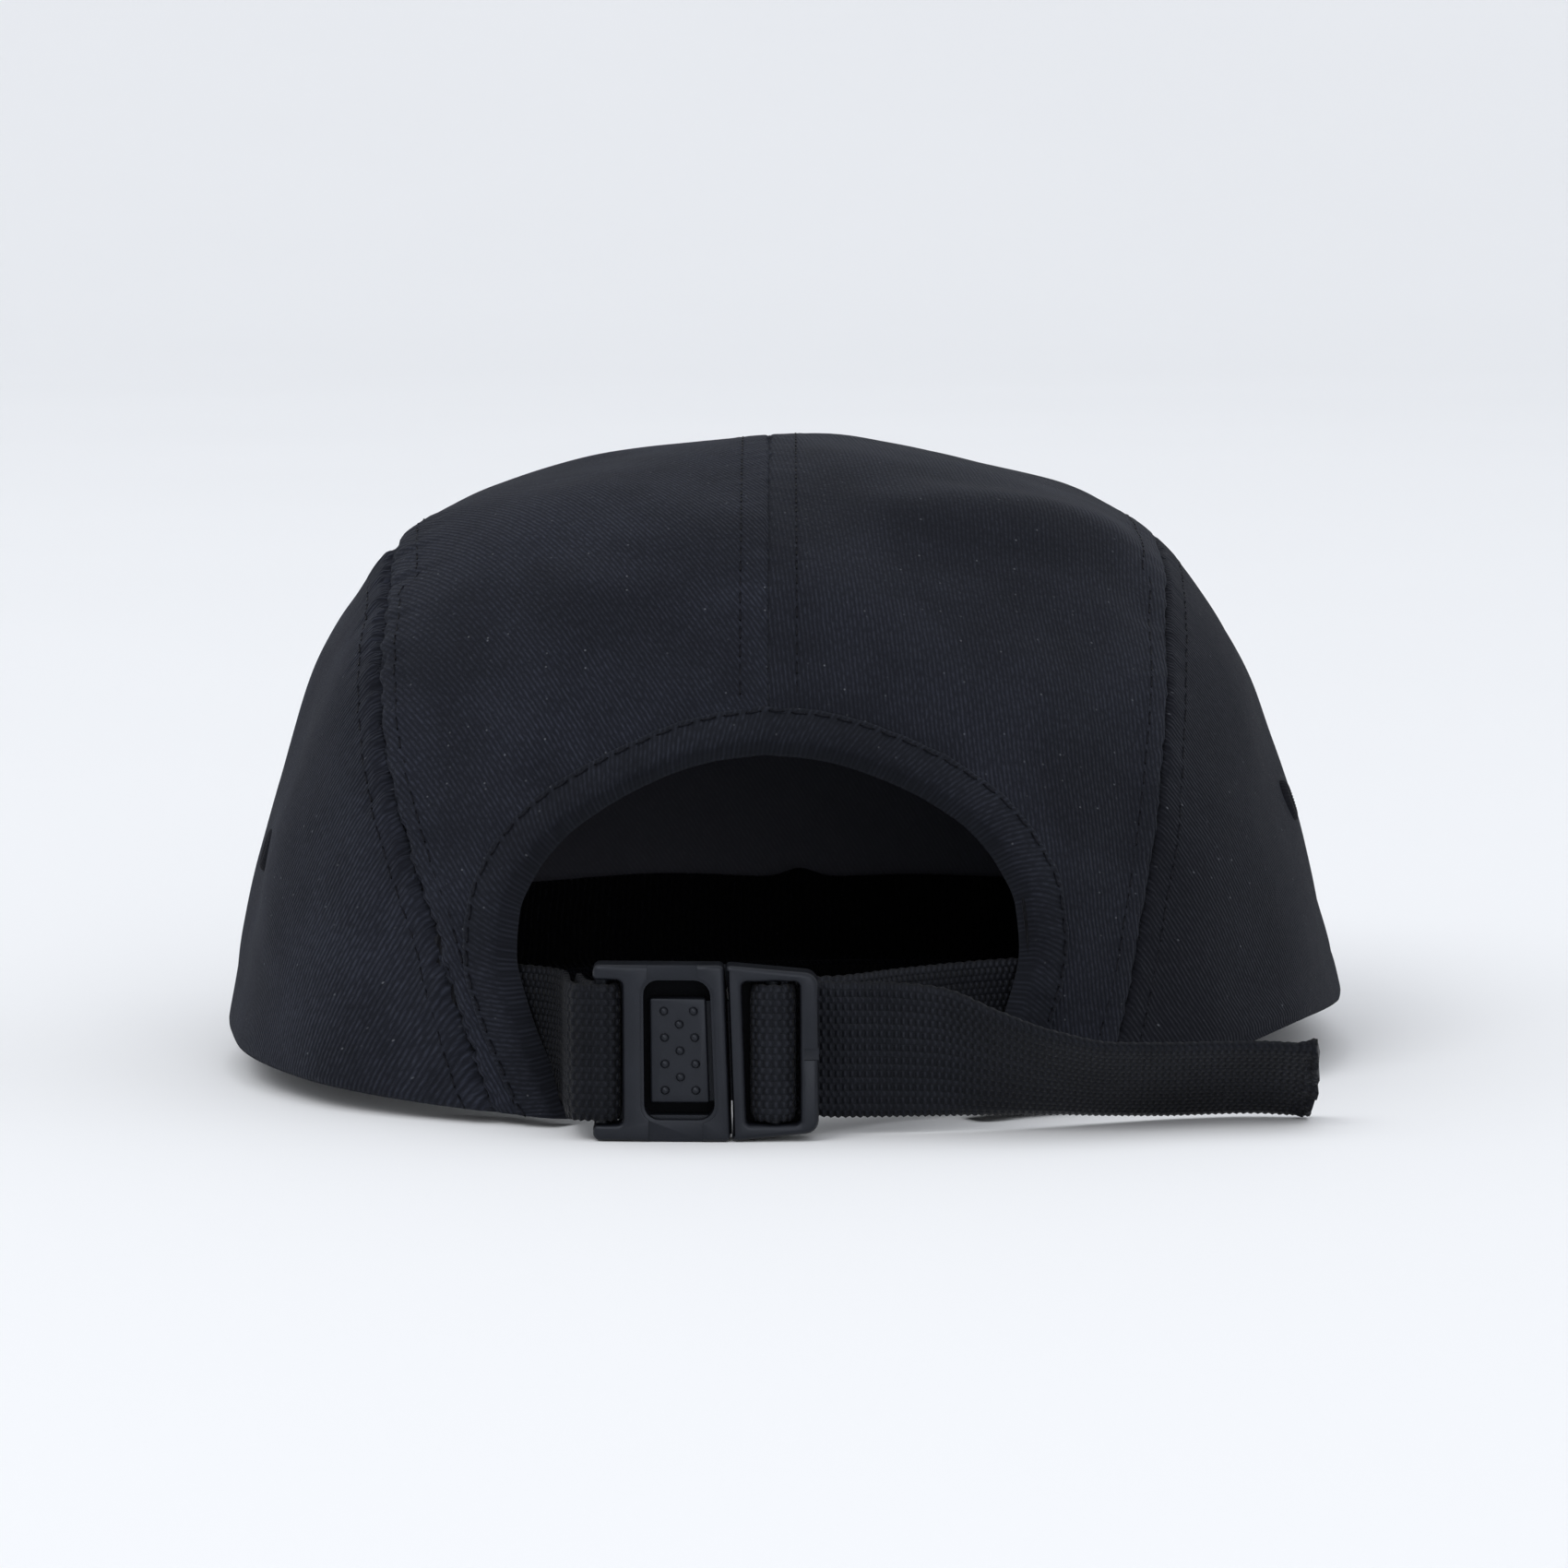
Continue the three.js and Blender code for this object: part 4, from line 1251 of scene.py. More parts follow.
class Stitching:
    """Rows of stitches on the crown's seams."""

    # Heights at which the side seams' lines start and leave the back, and those of the seams above.
    BACK = (2 * MM, 78 * MM)
    SIDE_TOP = 84 * MM
    FRONT_TOP = 86 * MM
    CENTRE_TOP = 88 * MM

    def __init__(self, crown: Crown) -> None:
        """Keeps the crown that is stitched."""
        self.crown = crown
        self.form = crown.form

    def surface(self, turn: Array, up: Array) -> Pair:
        """Points and directions on the finished cloth."""
        normals = self.form.normal(turn, up)
        skin = Skin(self.form.smooth(turn, up), normals, [])
        return self.crown.relieved(skin) + self.form.origin, normals

    def side_line(self, side: Side, offset: float) -> Pair:
        """A line beside a side seam, from the hem over the top to the front seam.

        Args:
            side: which side seam.
            offset: distance from the seam, outwards.

        Returns:
            Points on the cloth and the outward directions there.
        """
        form = self.form
        heights = np.linspace(*self.BACK, 160)
        low = []
        for _ in range(3):
            across = form.seam_across(side, heights)
            turn, up = form.back_place(side.value * across, heights)
            lean = np.sqrt(1 - form.normal(turn, up)[:, 0] ** 2)
            turn, up = form.back_place(side.value * (across + offset * lean), heights)
            low = form.smooth(turn, up)
        front = form.front_ahead(np.array([self.FRONT_TOP]))[0]
        ys = np.linspace(low[-1][1], -front + 1.5 * MM, 140)[1:]
        across = form.seam_across(side, np.full(len(ys), self.SIDE_TOP))
        x = side.value * (across + offset * 0.85)
        return self.back_and_top((turn, up), self.over_top(x, ys))

    def back_and_top(self, back: Pair, top: Pair) -> Pair:
        """One line up the back and over the top, as far as the front seam.

        Args:
            back: the turns and ways up of the part on the back.
            top: those of the part over the top.

        Returns:
            Points on the cloth and the outward directions there.
        """
        turn, up = (np.concatenate(pair) for pair in zip(back, top, strict=True))
        points, normals = self.surface(turn, up)
        local = points - self.form.origin
        keep = local[:, 1] > -self.form.front_ahead(local[:, 2]) + 1.0 * MM
        return points[keep], normals[keep]

    def over_top(self, x: Array, y: Array) -> Pair:
        """The turn and way up of points seen from above.

        Args:
            x: distances across.
            y: distances towards the back.

        Returns:
            The turns and the ways up.
        """
        low, high = np.full(len(x), 0.02), np.full(len(x), 0.999)
        turn = np.arctan2(y, x) / FULL_TURN
        for _ in range(26):
            middle = (low + high) / 2
            across = np.where(np.abs(x) > 1e-9, x, 1e-9)
            for _ in range(4):
                point = self.form.smooth(turn, middle)
                missing = np.arctan2(y, across) - np.arctan2(point[:, 1], point[:, 0])
                turn = turn + 0.6 * missing / FULL_TURN
            point = self.form.smooth(turn, middle)
            outside = np.hypot(point[:, 0], point[:, 1]) > np.hypot(x, y)
            low, high = np.where(outside, middle, low), np.where(outside, high, middle)
        return turn, (low + high) / 2

    def centre_line(self, offset: float) -> Pair:
        """A line beside the centre seam, from the opening over the top to the front seam.

        Args:
            offset: distance from the seam, to the left.

        Returns:
            Points on the cloth and the outward directions there.
        """
        form = self.form
        heights = np.linspace(form.opening_height + 6.6 * MM, self.CENTRE_TOP, 70)
        x = np.full(len(heights), form.opening_centre + offset)
        turn, up = form.back_place(x, heights)
        start = form.smooth(turn[-1:], up[-1:])[0, 1]
        ys = np.linspace(start, -form.front_ahead(np.array([form.height]))[0] + 2 * MM, 160)[1:]
        top = self.over_top(np.full(len(ys), form.opening_centre + offset), ys)
        return self.back_and_top((turn, up), top)

    def front_line(self, offset: float) -> Pair:
        """A line beside the front panel's seam, from the left hem over the top to the right hem.

        Args:
            offset: distance from the seam, towards the back.

        Returns:
            Points on the cloth and the outward directions there.
        """
        turns = 0.75 + 0.25 * np.linspace(-0.985, 0.985, 360)
        ups = self.up_on_front_seam(turns, offset)
        keep = ups > 0.01
        return self.surface(turns[keep], ups[keep])

    def up_on_front_seam(self, turns: Array, offset: float) -> Array:
        """The way up at which each turn meets the front seam, moved by an offset.

        Args:
            turns: shares of a full turn.
            offset: distance towards the back.

        Returns:
            Shares of the way up.
        """

        def ahead(up: Array) -> Array:
            """Which points still lie ahead of the seam."""
            point = self.form.smooth(turns, up)
            return point[:, 1] < -self.form.front_ahead(point[:, 2]) + offset

        return halve(np.zeros(len(turns)), np.ones(len(turns)), ahead)

    def build(self, finishes: Finishes) -> None:
        """Builds the rows of each seam as one piece.

        Args:
            finishes: the cap's materials.
        """
        at = self.crown.seams["left"].stitch_at
        rows = {
            "left": [self.side_line(Side.LEFT, offset) for offset in (at, -at)],
            "right": [self.side_line(Side.RIGHT, offset) for offset in (at, -at)],
            "centre": [self.centre_line(offset) for offset in (at, -at)],
            "front": [self.front_line(offset) for offset in (at, -at)],
        }
        for name, lines in rows.items():
            StitchRow().sew(f"stitches_{name}_seam", lines, finishes.thread)


@dataclass
class Binding:
    """The bias tape that wraps the edge of the back opening."""

    width: float = 5.2 * MM
    stations: int = 460
    stitch_inset: float = 0.9 * MM

    # Each place round the tape: share of the width, rise in millimetres, share of the lip.
    SECTION = [
        (1.00, 0.10, 0), (0.97, 0.42, 0), (0.9, 0.55, 0), (0.82, 0.5, 0), (0.74, 0.62, 0),
        (0.5, 0.85, 0), (0.25, 0.85, 0), (0.08, 0.5, 0), (0.0, -0.1, 0), (-0.02, -1.2, 0.25),
        (-0.03, -2.4, 0.68), (-0.04, -3.6, 0.95), (0.02, -4.3, 1), (0.12, -4.0, 0.8),
        (0.25, -3.0, 0.3), (0.6, -2.1, 0), (0.95, -1.95, 0), (1.00, -1.6, 0), (0.9, -1.25, 0),
        (0.5, -1.2, 0),
        (0.3, -1.15, 0), (0.25, -0.6, 0), (0.3, -0.05, 0), (0.6, 0.0, 0), (0.9, 0.02, 0),
    ]

    def lip_width(self, share: Array) -> Array:
        """How far the tape's inner edge turns in at shares of the way over the arch."""
        left = 1.3 * MM * (1 - soft_step(share, 0.12, 0.42))
        right = 0.3 * MM * soft_step(share, 0.6, 0.9)
        return 0.3 * MM + left + right

    def build(self, crown: Crown, finishes: Finishes) -> None:
        """Builds the tape and its row of stitches.

        Args:
            crown: the crown that is bound.
            finishes: the cap's materials.
        """
        form = crown.form
        edge, away = form.opening_path(self.stations)
        run = run_along(edge)
        wave = 0.1 * Seam(seed=9).wander(run) + 0.08 * Seam(seed=11).wander(run * 1.9)
        rings = []
        lip = self.lip_width(np.linspace(0, 1, self.stations))
        for share, depth, lipped in self.SECTION:
            wavy = wave * 0.5 * MM * soft_step(np.array([share]), 0.5, 1.0)
            outset = self.width * share + wavy - lip * lipped
            place = edge + away * outset[:, None]
            turn, up = form.back_place(place[:, 0], np.maximum(place[:, 1], 1 * MM))
            smooth, normal = form.smooth(turn, up), form.normal(turn, up)
            swell = depth + wave * (1.0 if depth > 0.3 else 0.25)
            push = form.fold_rise(smooth) + swell * MM
            rings.append(smooth + normal * push[:, None])
        points = np.stack(rings, 1).reshape(-1, 3) + form.origin
        count = len(self.SECTION)
        faces = grid_faces(self.stations, count, closed=True)
        faces.append(tuple(range(count)))
        last = (self.stations - 1) * count
        faces.append(tuple(last + i for i in reversed(range(count))))
        piece = make_object("opening_bias_binding", points, faces)
        across = np.array([share * self.width for share, _, _ in self.SECTION])
        place = np.stack([np.repeat(run, count), np.tile(across, self.stations)], -1)
        face_outwards(piece, merge=False)
        set_uv(piece, place)
        dress(piece, finishes.tape, "binding", "opening_binding")
        self.stitch(crown, finishes)

    def stitch(self, crown: Crown, finishes: Finishes) -> None:
        """Builds the row of stitches that holds the tape.

        Args:
            crown: the crown that is bound.
            finishes: the cap's materials.
        """
        form = crown.form
        edge, away = form.opening_path(self.stations)
        place = (edge + away * (self.width - self.stitch_inset))[6:-6]
        turn, up = form.back_place(place[:, 0], np.maximum(place[:, 1], 1 * MM))
        normals, smooth = form.normal(turn, up), form.smooth(turn, up)
        line = smooth + normals * (form.fold_rise(smooth) + 0.72 * MM)[:, None] + form.origin
        StitchRow().sew("stitches_binding", [(line, normals)], finishes.thread)


@dataclass
class Sweatband:
    """The band inside the rim, from one side of the opening round the front to the other."""

    front_height: float = 18 * MM
    side_height: float = 25 * MM
    end_rise: float = 8 * MM
    wall: float = 1.0 * MM
    inset: float = 2.5 * MM
    left_reach: float = 8.0 * MM
    right_reach: float = 7.5 * MM

    def build(self, form: CrownForm, finishes: Finishes) -> None:
        """Builds the band.

        Args:
            form: the crown's form.
            finishes: the cap's materials.
        """
        columns, rows = 520, 20
        left = form.opening_centre + form.foot + self.left_reach
        right = form.opening_centre - form.foot - self.right_reach
        ends = form.back_turn(np.array([left, right]), np.array([0.2, 0.2]))
        turns = np.linspace(ends[0], ends[1] - 1, columns)
        smooth = form.smooth(turns, np.zeros(columns))
        frontness = soft_step(-smooth[:, 1], 0.0, 75 * MM)
        from_end = np.minimum(ends[0] - turns, turns - ends[1] + 1) * FULL_TURN * 90 * MM
        top = self.side_height + (self.front_height - self.side_height) * frontness
        top = top + 0.5 * MM * np.sin(turns * FULL_TURN * 5 + 1)
        top = top + 0.3 * MM * np.sin(turns * FULL_TURN * 13)
        top = top + 1.6 * MM * np.exp(-(((turns + 0.253) / 0.006) ** 2))
        top = top + self.end_rise * (1 - soft_step(from_end, 2 * MM, 18 * MM))
        bottom = form.hem_lift(turns) + 0.7 * MM - 3.4 * MM * frontness
        lifted = 1 - soft_step(from_end, 4 * MM, 12 * MM)
        bottom = bottom + (24.5 * MM - bottom) * lifted
        ribs = 0.35 * MM * np.sin(from_end * FULL_TURN / (1.4 * MM))
        ribs = ribs * (1 - soft_step(from_end, 5 * MM, 9 * MM))
        points = []
        for k in range(rows):
            share = k / (rows - 1)
            z = bottom + (top - bottom) * share
            up = form.up_at(turns, np.maximum(z, form.hem_lift(turns)))
            # At the front the dark band's foot is lowered to the floor and laid up to 17 mm inward
            # along it; besides the band itself, this stands in for the shade on the floor inside the
            # cap.
            curl = 17 * MM * frontness * max(0.0, 1 - share / 0.2) ** 1.6
            depth = self.inset + 1.6 * MM * share**2 * frontness + ribs + curl
            row = form.place(turns, up, depth)
            row[:, 2] = z
            points.append(row)
        grid = np.stack(points, 0).reshape(-1, 3) + form.origin
        piece = make_object("inner_sweatband", grid, grid_faces(rows, columns))
        apply_modifier(piece, "SOLIDIFY", thickness=self.wall, offset=-1.0, use_even_offset=False)
        face_outwards(piece, merge=False)
        found = mesh_points(piece) - form.origin
        around = np.arctan2(found[:, 1], found[:, 0]) * 90 * MM
        set_uv(piece, np.stack([around, found[:, 2]], -1))
        dress(piece, finishes.band, "sweatband", "sweatband")


@dataclass
class Eyelet:
    """A stitched vent eyelet: a thick ring wound with thread."""

    side: Side
    ring: float = 2.5 * MM
    thickness: float = 0.95 * MM
    turns: int = 30

    # The turn at which each eyelet lies on the crown, and its height.
    PLACES = {Side.LEFT: (0.035, 35.5 * MM), Side.RIGHT: (0.462, 41 * MM)}

    def build(self, form: CrownForm, finishes: Finishes) -> None:
        """Builds the ring at its place on the side panel.

        Args:
            form: the crown's form.
            finishes: the cap's materials.
        """
        turn, height = (np.array([value]) for value in self.PLACES[self.side])
        up = form.up_at(turn, height)
        middle = form.place(turn, up, 0.2 * MM)[0] + form.origin
        normal = Vector(form.normal(turn, up)[0])
        piece = add_mesh(
            bpy.ops.mesh.primitive_torus_add,
            f"vent_eyelet_{self.side.word}",
            major_radius=self.ring,
            minor_radius=self.thickness,
            major_segments=120,
            minor_segments=12,
        )
        points = mesh_points(piece)
        angle = np.arctan2(points[:, 1], points[:, 0])
        radius = np.hypot(points[:, 0], points[:, 1])
        wound = 1 + 0.13 * np.abs(np.sin(angle * self.turns / 2))
        radius = self.ring + (radius - self.ring) * wound
        x, y = radius * np.cos(angle), radius * np.sin(angle)
        shaped = np.stack([x, y, points[:, 2] * wound], -1)
        turned = Vector((0, 0, 1)).rotation_difference(normal).to_matrix()
        set_points(piece, shaped @ np.array(turned).T + middle)
        piece.location = (0, 0, 0)
        piece.data.shade_smooth()
        dress(piece, finishes.thread, "thread", f"eyelet_{self.side.word}")
        self.shade_hole(middle, normal, finishes)

    def shade_hole(self, middle: Array, normal: Vector, finishes: Finishes) -> None:
        """Adds a shallow near-black cup inside the ring, in the sweatband cloth: painted shade for
        the hole.

        Args:
            middle: the ring's middle.
            normal: outward direction there.
            finishes: the cap's materials.
        """
        name = f"vent_eyelet_shade_cup_{self.side.word}"
        disc = {"vertices": 32, "radius": self.ring, "fill_type": "TRIFAN"}
        piece = add_mesh(bpy.ops.mesh.primitive_circle_add, name, **disc)
        edit_whole(piece)
        bpy.ops.mesh.extrude_region_move(TRANSFORM_OT_translate={"value": (0, 0, -0.7 * MM)})
        bpy.ops.mesh.select_all(action="SELECT")
        bpy.ops.mesh.normals_make_consistent(inside=False)
        leave_edit()
        turned = Vector((0, 0, 1)).rotation_difference(normal).to_matrix()
        set_points(piece, mesh_points(piece) @ np.array(turned).T + middle)
        set_uv(piece, mesh_points(piece)[:, :2])
        # The near-black sweatband cloth here is painted shade in the vent's hole.
        dress(piece, finishes.band, "thread")


@dataclass
class Visor:
    """The flat visor: a padded crescent with rows of stitches."""

    rows: int = 6
    row_gap: float = 8.5 * MM
    first_inset: float = 5 * MM
    sweep: float = 1.32
    roundness: float = 0.72
    crown_gap: float = 6 * MM

    def build(self, finishes: Finishes) -> None:
        """Builds the visor from its solid's outline, with a rolled edge, and its stitches.

        Args:
            finishes: the cap's materials.
        """
        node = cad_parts["visor"]
        piece = bpy.data.objects.new("visor_cover", node.data.copy())
        bpy.context.scene.collection.objects.link(piece)
        face_outwards(piece)
        edit_whole(piece)
        bpy.ops.mesh.dissolve_limited(angle_limit=math.radians(1))
        leave_edit()
        limit = {"limit_method": "ANGLE", "angle_limit": math.radians(50)}
        apply_modifier(piece, "BEVEL", width=1.2 * MM, segments=4, **limit)
        edit_whole(piece)
        bpy.ops.mesh.quads_convert_to_tris()
        bpy.ops.mesh.normals_make_consistent(inside=False)
        leave_edit()
        piece.data.shade_smooth()
        piece.data.set_sharp_from_angle(angle=math.radians(35))
        points = mesh_points(piece)
        set_uv(piece, points[:, :2])
        dress(piece, finishes.twill_front, "twill", "visor")
        self.stitch(points, finishes)

    def stitch(self, points: Array, finishes: Finishes) -> None:
        """Lays the rows of stitches, each a gap inside the last.

        Args:
            points: the visor's points.
            finishes: the cap's materials.
        """
        top = points[:, 2].max()
        middle_x = (points[:, 0].max() + points[:, 0].min()) / 2
        half = (points[:, 0].max() - points[:, 0].min()) / 2
        front, back = points[:, 1].min(), points[points[:, 0] > middle_x + half * 0.9][:, 1].mean()
        lines = []
        for row in range(self.rows):
            inset = self.first_inset + self.row_gap * row
            angle = np.linspace(-self.sweep, self.sweep, 160)
            x = middle_x + (half - inset) * np.sin(angle)
            y = back + (front + inset - back) * np.cos(angle) ** self.roundness
            line = np.stack([x, y, np.full(len(x), top)], -1)
            line = line[line[:, 1] < back - self.crown_gap]
            lines.append((line, np.tile([0.0, 0.0, 1.0], (len(line), 1))))
        StitchRow().sew("stitches_visor", lines, finishes.thread)


def smooth_path(points: Path, step: float) -> Array:
    """A smooth plan path through points, with even steps.

    Args:
        points: places that the path passes, as x and y.
        step: distance between the points returned.

    Returns:
        The path's points.
    """
    given = np.array(points, float)
    padded = np.vstack([2 * given[0] - given[1], given, 2 * given[-1] - given[-2]])
    found = []
    for i in range(1, len(padded) - 2):
        p0, p1, p2, p3 = padded[i - 1 : i + 3]
        steps = [max(np.linalg.norm(b - a), 1e-6) ** 0.5 for a, b in ((p0, p1), (p1, p2), (p2, p3))]
        knots = np.cumsum([0] + steps)
        t = np.linspace(knots[1], knots[2], 24, endpoint=False)[:, None]
        t0, t1, t2, t3 = knots
        a1 = (t1 - t) / (t1 - t0) * p0 + (t - t0) / (t1 - t0) * p1
        a2 = (t2 - t) / (t2 - t1) * p1 + (t - t1) / (t2 - t1) * p2
        a3 = (t3 - t) / (t3 - t2) * p2 + (t - t2) / (t3 - t2) * p3
        b1 = (t2 - t) / (t2 - t0) * a1 + (t - t0) / (t2 - t0) * a2
        b2 = (t3 - t) / (t3 - t1) * a2 + (t - t1) / (t3 - t1) * a3
        found.append((t2 - t) / (t2 - t1) * b1 + (t - t1) / (t2 - t1) * b2)
    path = np.vstack([*found, given[-1:]])
    run = run_along(path)
    even = np.linspace(0, run[-1], max(int(run[-1] / step), 2))
    return np.stack([np.interp(even, run, path[:, k]) for k in (0, 1)], -1)


def round_bar(x: float, y: float, radius: float, start: float, end: float) -> Path:
    """Places of a turn round a bar, between two angles in degrees.

    Args:
        x: the bar's place across.
        y: the bar's place along.
        radius: the turn's radius.
        start: the first angle.
        end: the last angle.

    Returns:
        The places, as x and y.
    """
    angles = np.radians(np.linspace(start, end, 9))
    return [(x + radius * math.cos(a), y + radius * math.sin(a)) for a in angles]


@dataclass
class Straps:
    """Both webbing straps, with the loops round the buckle's bars and the free tail."""

    form: CrownForm
    width: float = 20 * MM
    extra: float = 0.4 * MM
    thickness: float = 1.4 * MM
    tail: float = 77.5 * MM
    clearance: float = 0.3 * MM
    buckle_x: float = 8.3 * MM
    socket_width: float = 20 * MM
    insert_width: float = 13.4 * MM
    buckle_thickness: float = 6 * MM
    buckle_height: float = 26.3 * MM
    stand_off: float = 14.6 * MM
    socket_bar: float = 1 * MM
    insert_bar: float = 1.3 * MM
    rim_depth: float = (1.5 + 0.5 + 0.3 + 1.2 + 0.3 + 0.7 + 0.3) * MM

    TAIL = table(
        "along depth lean lift",
        (0.0, 7.5, 0.2, 0.15),
        (0.13, 8.2, 1.0, 0.15),
        (0.25, 9.6, 4.2, 0.15),
        (0.37, 12.0, 10.9, 0.14),
        (0.48, 15.2, 14.1, 0.12),
        (0.6, 19.5, 15.3, 0.08),
        (0.75, 24.2, 15.3, 0.05),
        (0.88, 26.2, 15.4, 0.05),
        (1.0, 25.4, 15.4, 0.03),
    )

    @property
    def face_y(self) -> float:
        """The buckle's outer face, in the crown's own frame."""
        return self.form.half_length + self.stand_off

    @property
    def base(self) -> float:
        """Height of the webbing's lower edge in the buckle."""
        return 0.1 * MM + (self.buckle_height - self.width) / 2 + self.clearance / 2

    def inside_rim(self, x: float) -> tuple[float, float]:
        """The plan place just inside the rim at a distance across."""
        up = np.array([0.15])
        turn = self.form.back_turn(np.array([x]), up)
        point = self.form.place(turn, up, self.rim_depth)[0]
        return float(point[0]), float(point[1])

    def short_path(self) -> Path:
        """The short strap's plan path: out of the cap, round the socket's bar and back.

        Returns:
            Places that the path passes, as x and y.
        """
        bar_y = self.face_y - self.buckle_thickness / 2
        bar_x = self.buckle_x + self.socket_width - self.socket_bar - 0.4 * MM
        radius = self.socket_bar + self.clearance + self.thickness / 2 + 0.1 * MM
        foot = self.form.opening_centre + self.form.foot
        edge = self.inside_rim(foot + 6 * MM)
        near = bar_x + 4.2 * MM
        return [
            self.inside_rim(foot + 16 * MM),
            edge,
            (foot - 0.5 * MM, edge[1] + 6 * MM),
            (near, bar_y + 0.4 * MM),
            *round_bar(bar_x, bar_y, radius, 60, 300),
            (near - 1.7 * MM, bar_y - 3.4 * MM),
            (foot - 3.2 * MM, edge[1] + 9.5 * MM),
        ]

    def long_path(self) -> Path:
        """The long strap's plan path: out of the cap, round the insert's bar and out behind it.

        Returns:
            Places that the path passes, as x and y.
        """
        bar_y = self.face_y - self.buckle_thickness / 2
        back_y = self.face_y - self.buckle_thickness
        bar_x = self.buckle_x - self.insert_width * 0.5
        radius = self.insert_bar + self.clearance + self.thickness / 2 + 0.45 * MM
        foot = self.form.opening_centre - self.form.foot
        edge = self.inside_rim(foot - 3 * MM)
        behind = back_y - self.clearance - 2.5 * self.thickness - 1.2 * MM
        tail_x = self.buckle_x - self.insert_width - 0.4 * MM
        return [
            self.inside_rim(foot - 14 * MM),
            edge,
            ((foot + tail_x) / 2, (edge[1] + behind) / 2 + 0.6 * MM),
            (tail_x - 2 * MM, behind),
            (bar_x, behind + 0.2 * MM),
            *round_bar(bar_x, bar_y, radius, -40, 195),
            (bar_x - radius + 0.1 * MM, bar_y - 2.6 * MM),
            (bar_x - radius - 1.6 * MM, back_y - self.clearance - self.thickness / 2 - 0.35 * MM),
        ]

    def upright(self, path: Array) -> Pair:
        """Lower and upper edges of webbing that stands upright on a plan path."""
        low = np.column_stack([path, np.full(len(path), self.base)])
        return low, low + [0, 0, self.width - self.clearance]

    def tail_edges(self, start: Array, step: float) -> Pair:
        """Lower and upper edges of the free tail, from where the upright part ends.

        Args:
            start: the last point of the upright part's lower edge.
            step: distance between points.

        Returns:
            The lower and the upper edge.
        """
        share = np.linspace(0, 1, int(self.tail / step))[1:]
        settle = np.minimum(share / 0.06, 1)
        depth = read_table(self.TAIL, "along", "depth", share) * MM
        lean = read_table(self.TAIL, "along", "lean", share) * MM * settle
        lift = read_table(self.TAIL, "along", "lift", share) * self.width
        low_y = start[1] + (self.face_y - depth - start[1]) * settle
        low_z = start[2] + (lift - start[2]) * settle
        rise = np.sqrt((self.width - self.clearance) ** 2 - lean**2)
        x = start[0] - self.tail * share
        low = np.column_stack([x, low_y, low_z])
        return low, low + np.column_stack([np.zeros(len(x)), lean, rise])

    def band(self, name: str, low: Array, high: Array, frayed: bool) -> Piece:
        """Makes webbing between two edges: a thin slab with scalloped edges and a soft crown.

        Args:
            name: the piece's name.
            low: the lower edge.
            high: the upper edge.
            frayed: whether its far end is melted and lumpy.

        Returns:
            The piece.
        """
        count, across = len(low), 17
        spread = unit(high - low) * self.extra
        low, high = low - spread, high + spread
        run = run_along(low)
        forward = unit(np.gradient((low + high) / 2, axis=0))
        rise = unit(high - low)
        out = unit(np.cross(forward, rise))
        lower = 0.15 * MM * np.sin(run * FULL_TURN / (1.1 * MM))
        upper = 0.22 * MM * np.abs(np.sin(run * math.pi / (1.9 * MM)))
        shares = np.linspace(-0.5, 0.5, across)
        wide = np.linalg.norm(high - low, axis=1)
        middle = (low + high) / 2
        half = self.thickness / 2
        fronts, backs = [], []
        for k, share in enumerate(shares):
            edge = abs(share) * 2
            thick = half * (1 - 0.55 * max(0.0, edge - 0.86) / 0.14)
            scallop = upper if share > 0 else -lower
            reach = share * (wide - 0.3 * MM) + scallop * (edge > 0.95)
            ribs = 0.05 * MM * np.sin(run * FULL_TURN / (1.1 * MM) + math.pi * k)
            centre = middle + rise * reach[:, None]
            fronts.append(centre + out * (thick + ribs)[:, None])
            backs.append(centre - out * (thick + ribs)[:, None])
        loop = fronts + backs[::-1]
        grid = np.stack(loop, 1)
        if frayed:
            melt = soft_step(run, run[-1] - 4.5 * MM, run[-1])[:, None, None]
            lumps = {"seed": 31, "shortest": 2 * MM, "longest": 5 * MM, "count": 8}
            noise = drape(grid.reshape(-1, 3), **lumps).reshape(grid.shape[:2])
            grid = grid + out[:, None, :] * (noise * 0.25 * MM)[..., None] * melt
            corner = np.concatenate([shares, shares[::-1]]) ** 2 * 2.4 * MM
            grid = grid - forward[:, None, :] * (corner[None, :] * melt[..., 0])[..., None]
            tears = {"seed": 37, "shortest": 3 * MM, "longest": 8 * MM, "count": 6}
            ragged = drape(grid.reshape(-1, 3), **tears).reshape(grid.shape[:2])
            grid = grid + forward[:, None, :] * (ragged * 0.3 * MM)[..., None] * melt
            top = soft_step(np.concatenate([shares, shares[::-1]]), 0.2, 0.5)[None, :, None]
            grid = grid + rise[:, None, :] * top * (1.1 * MM + 0.5 * MM * noise[..., None]) * melt
            bead = 1 + 0.9 * melt**3
            centre = grid.mean(axis=1, keepdims=True)
            depth = ((grid - centre) * out[:, None, :]).sum(-1, keepdims=True) * out[:, None, :]
            grid = grid + depth * (bead - 1)
        points = grid.reshape(-1, 3) + self.form.origin
        around = 2 * across
        faces = grid_faces(count, around, closed=True)
        faces += [(k, k + 1, around - 2 - k, around - 1 - k) for k in range(across - 1)]
        last = (count - 1) * around
        end = last + around - 1
        faces += [(last + k, end - k, end - 1 - k, last + k + 1) for k in range(across - 1)]
        piece = make_object(name, points, faces)
        face_outwards(piece, merge=False)
        v = np.concatenate([shares, shares[::-1]]) * self.width
        set_uv(piece, np.stack([np.repeat(run, around), np.tile(v, count)], -1))
        return piece

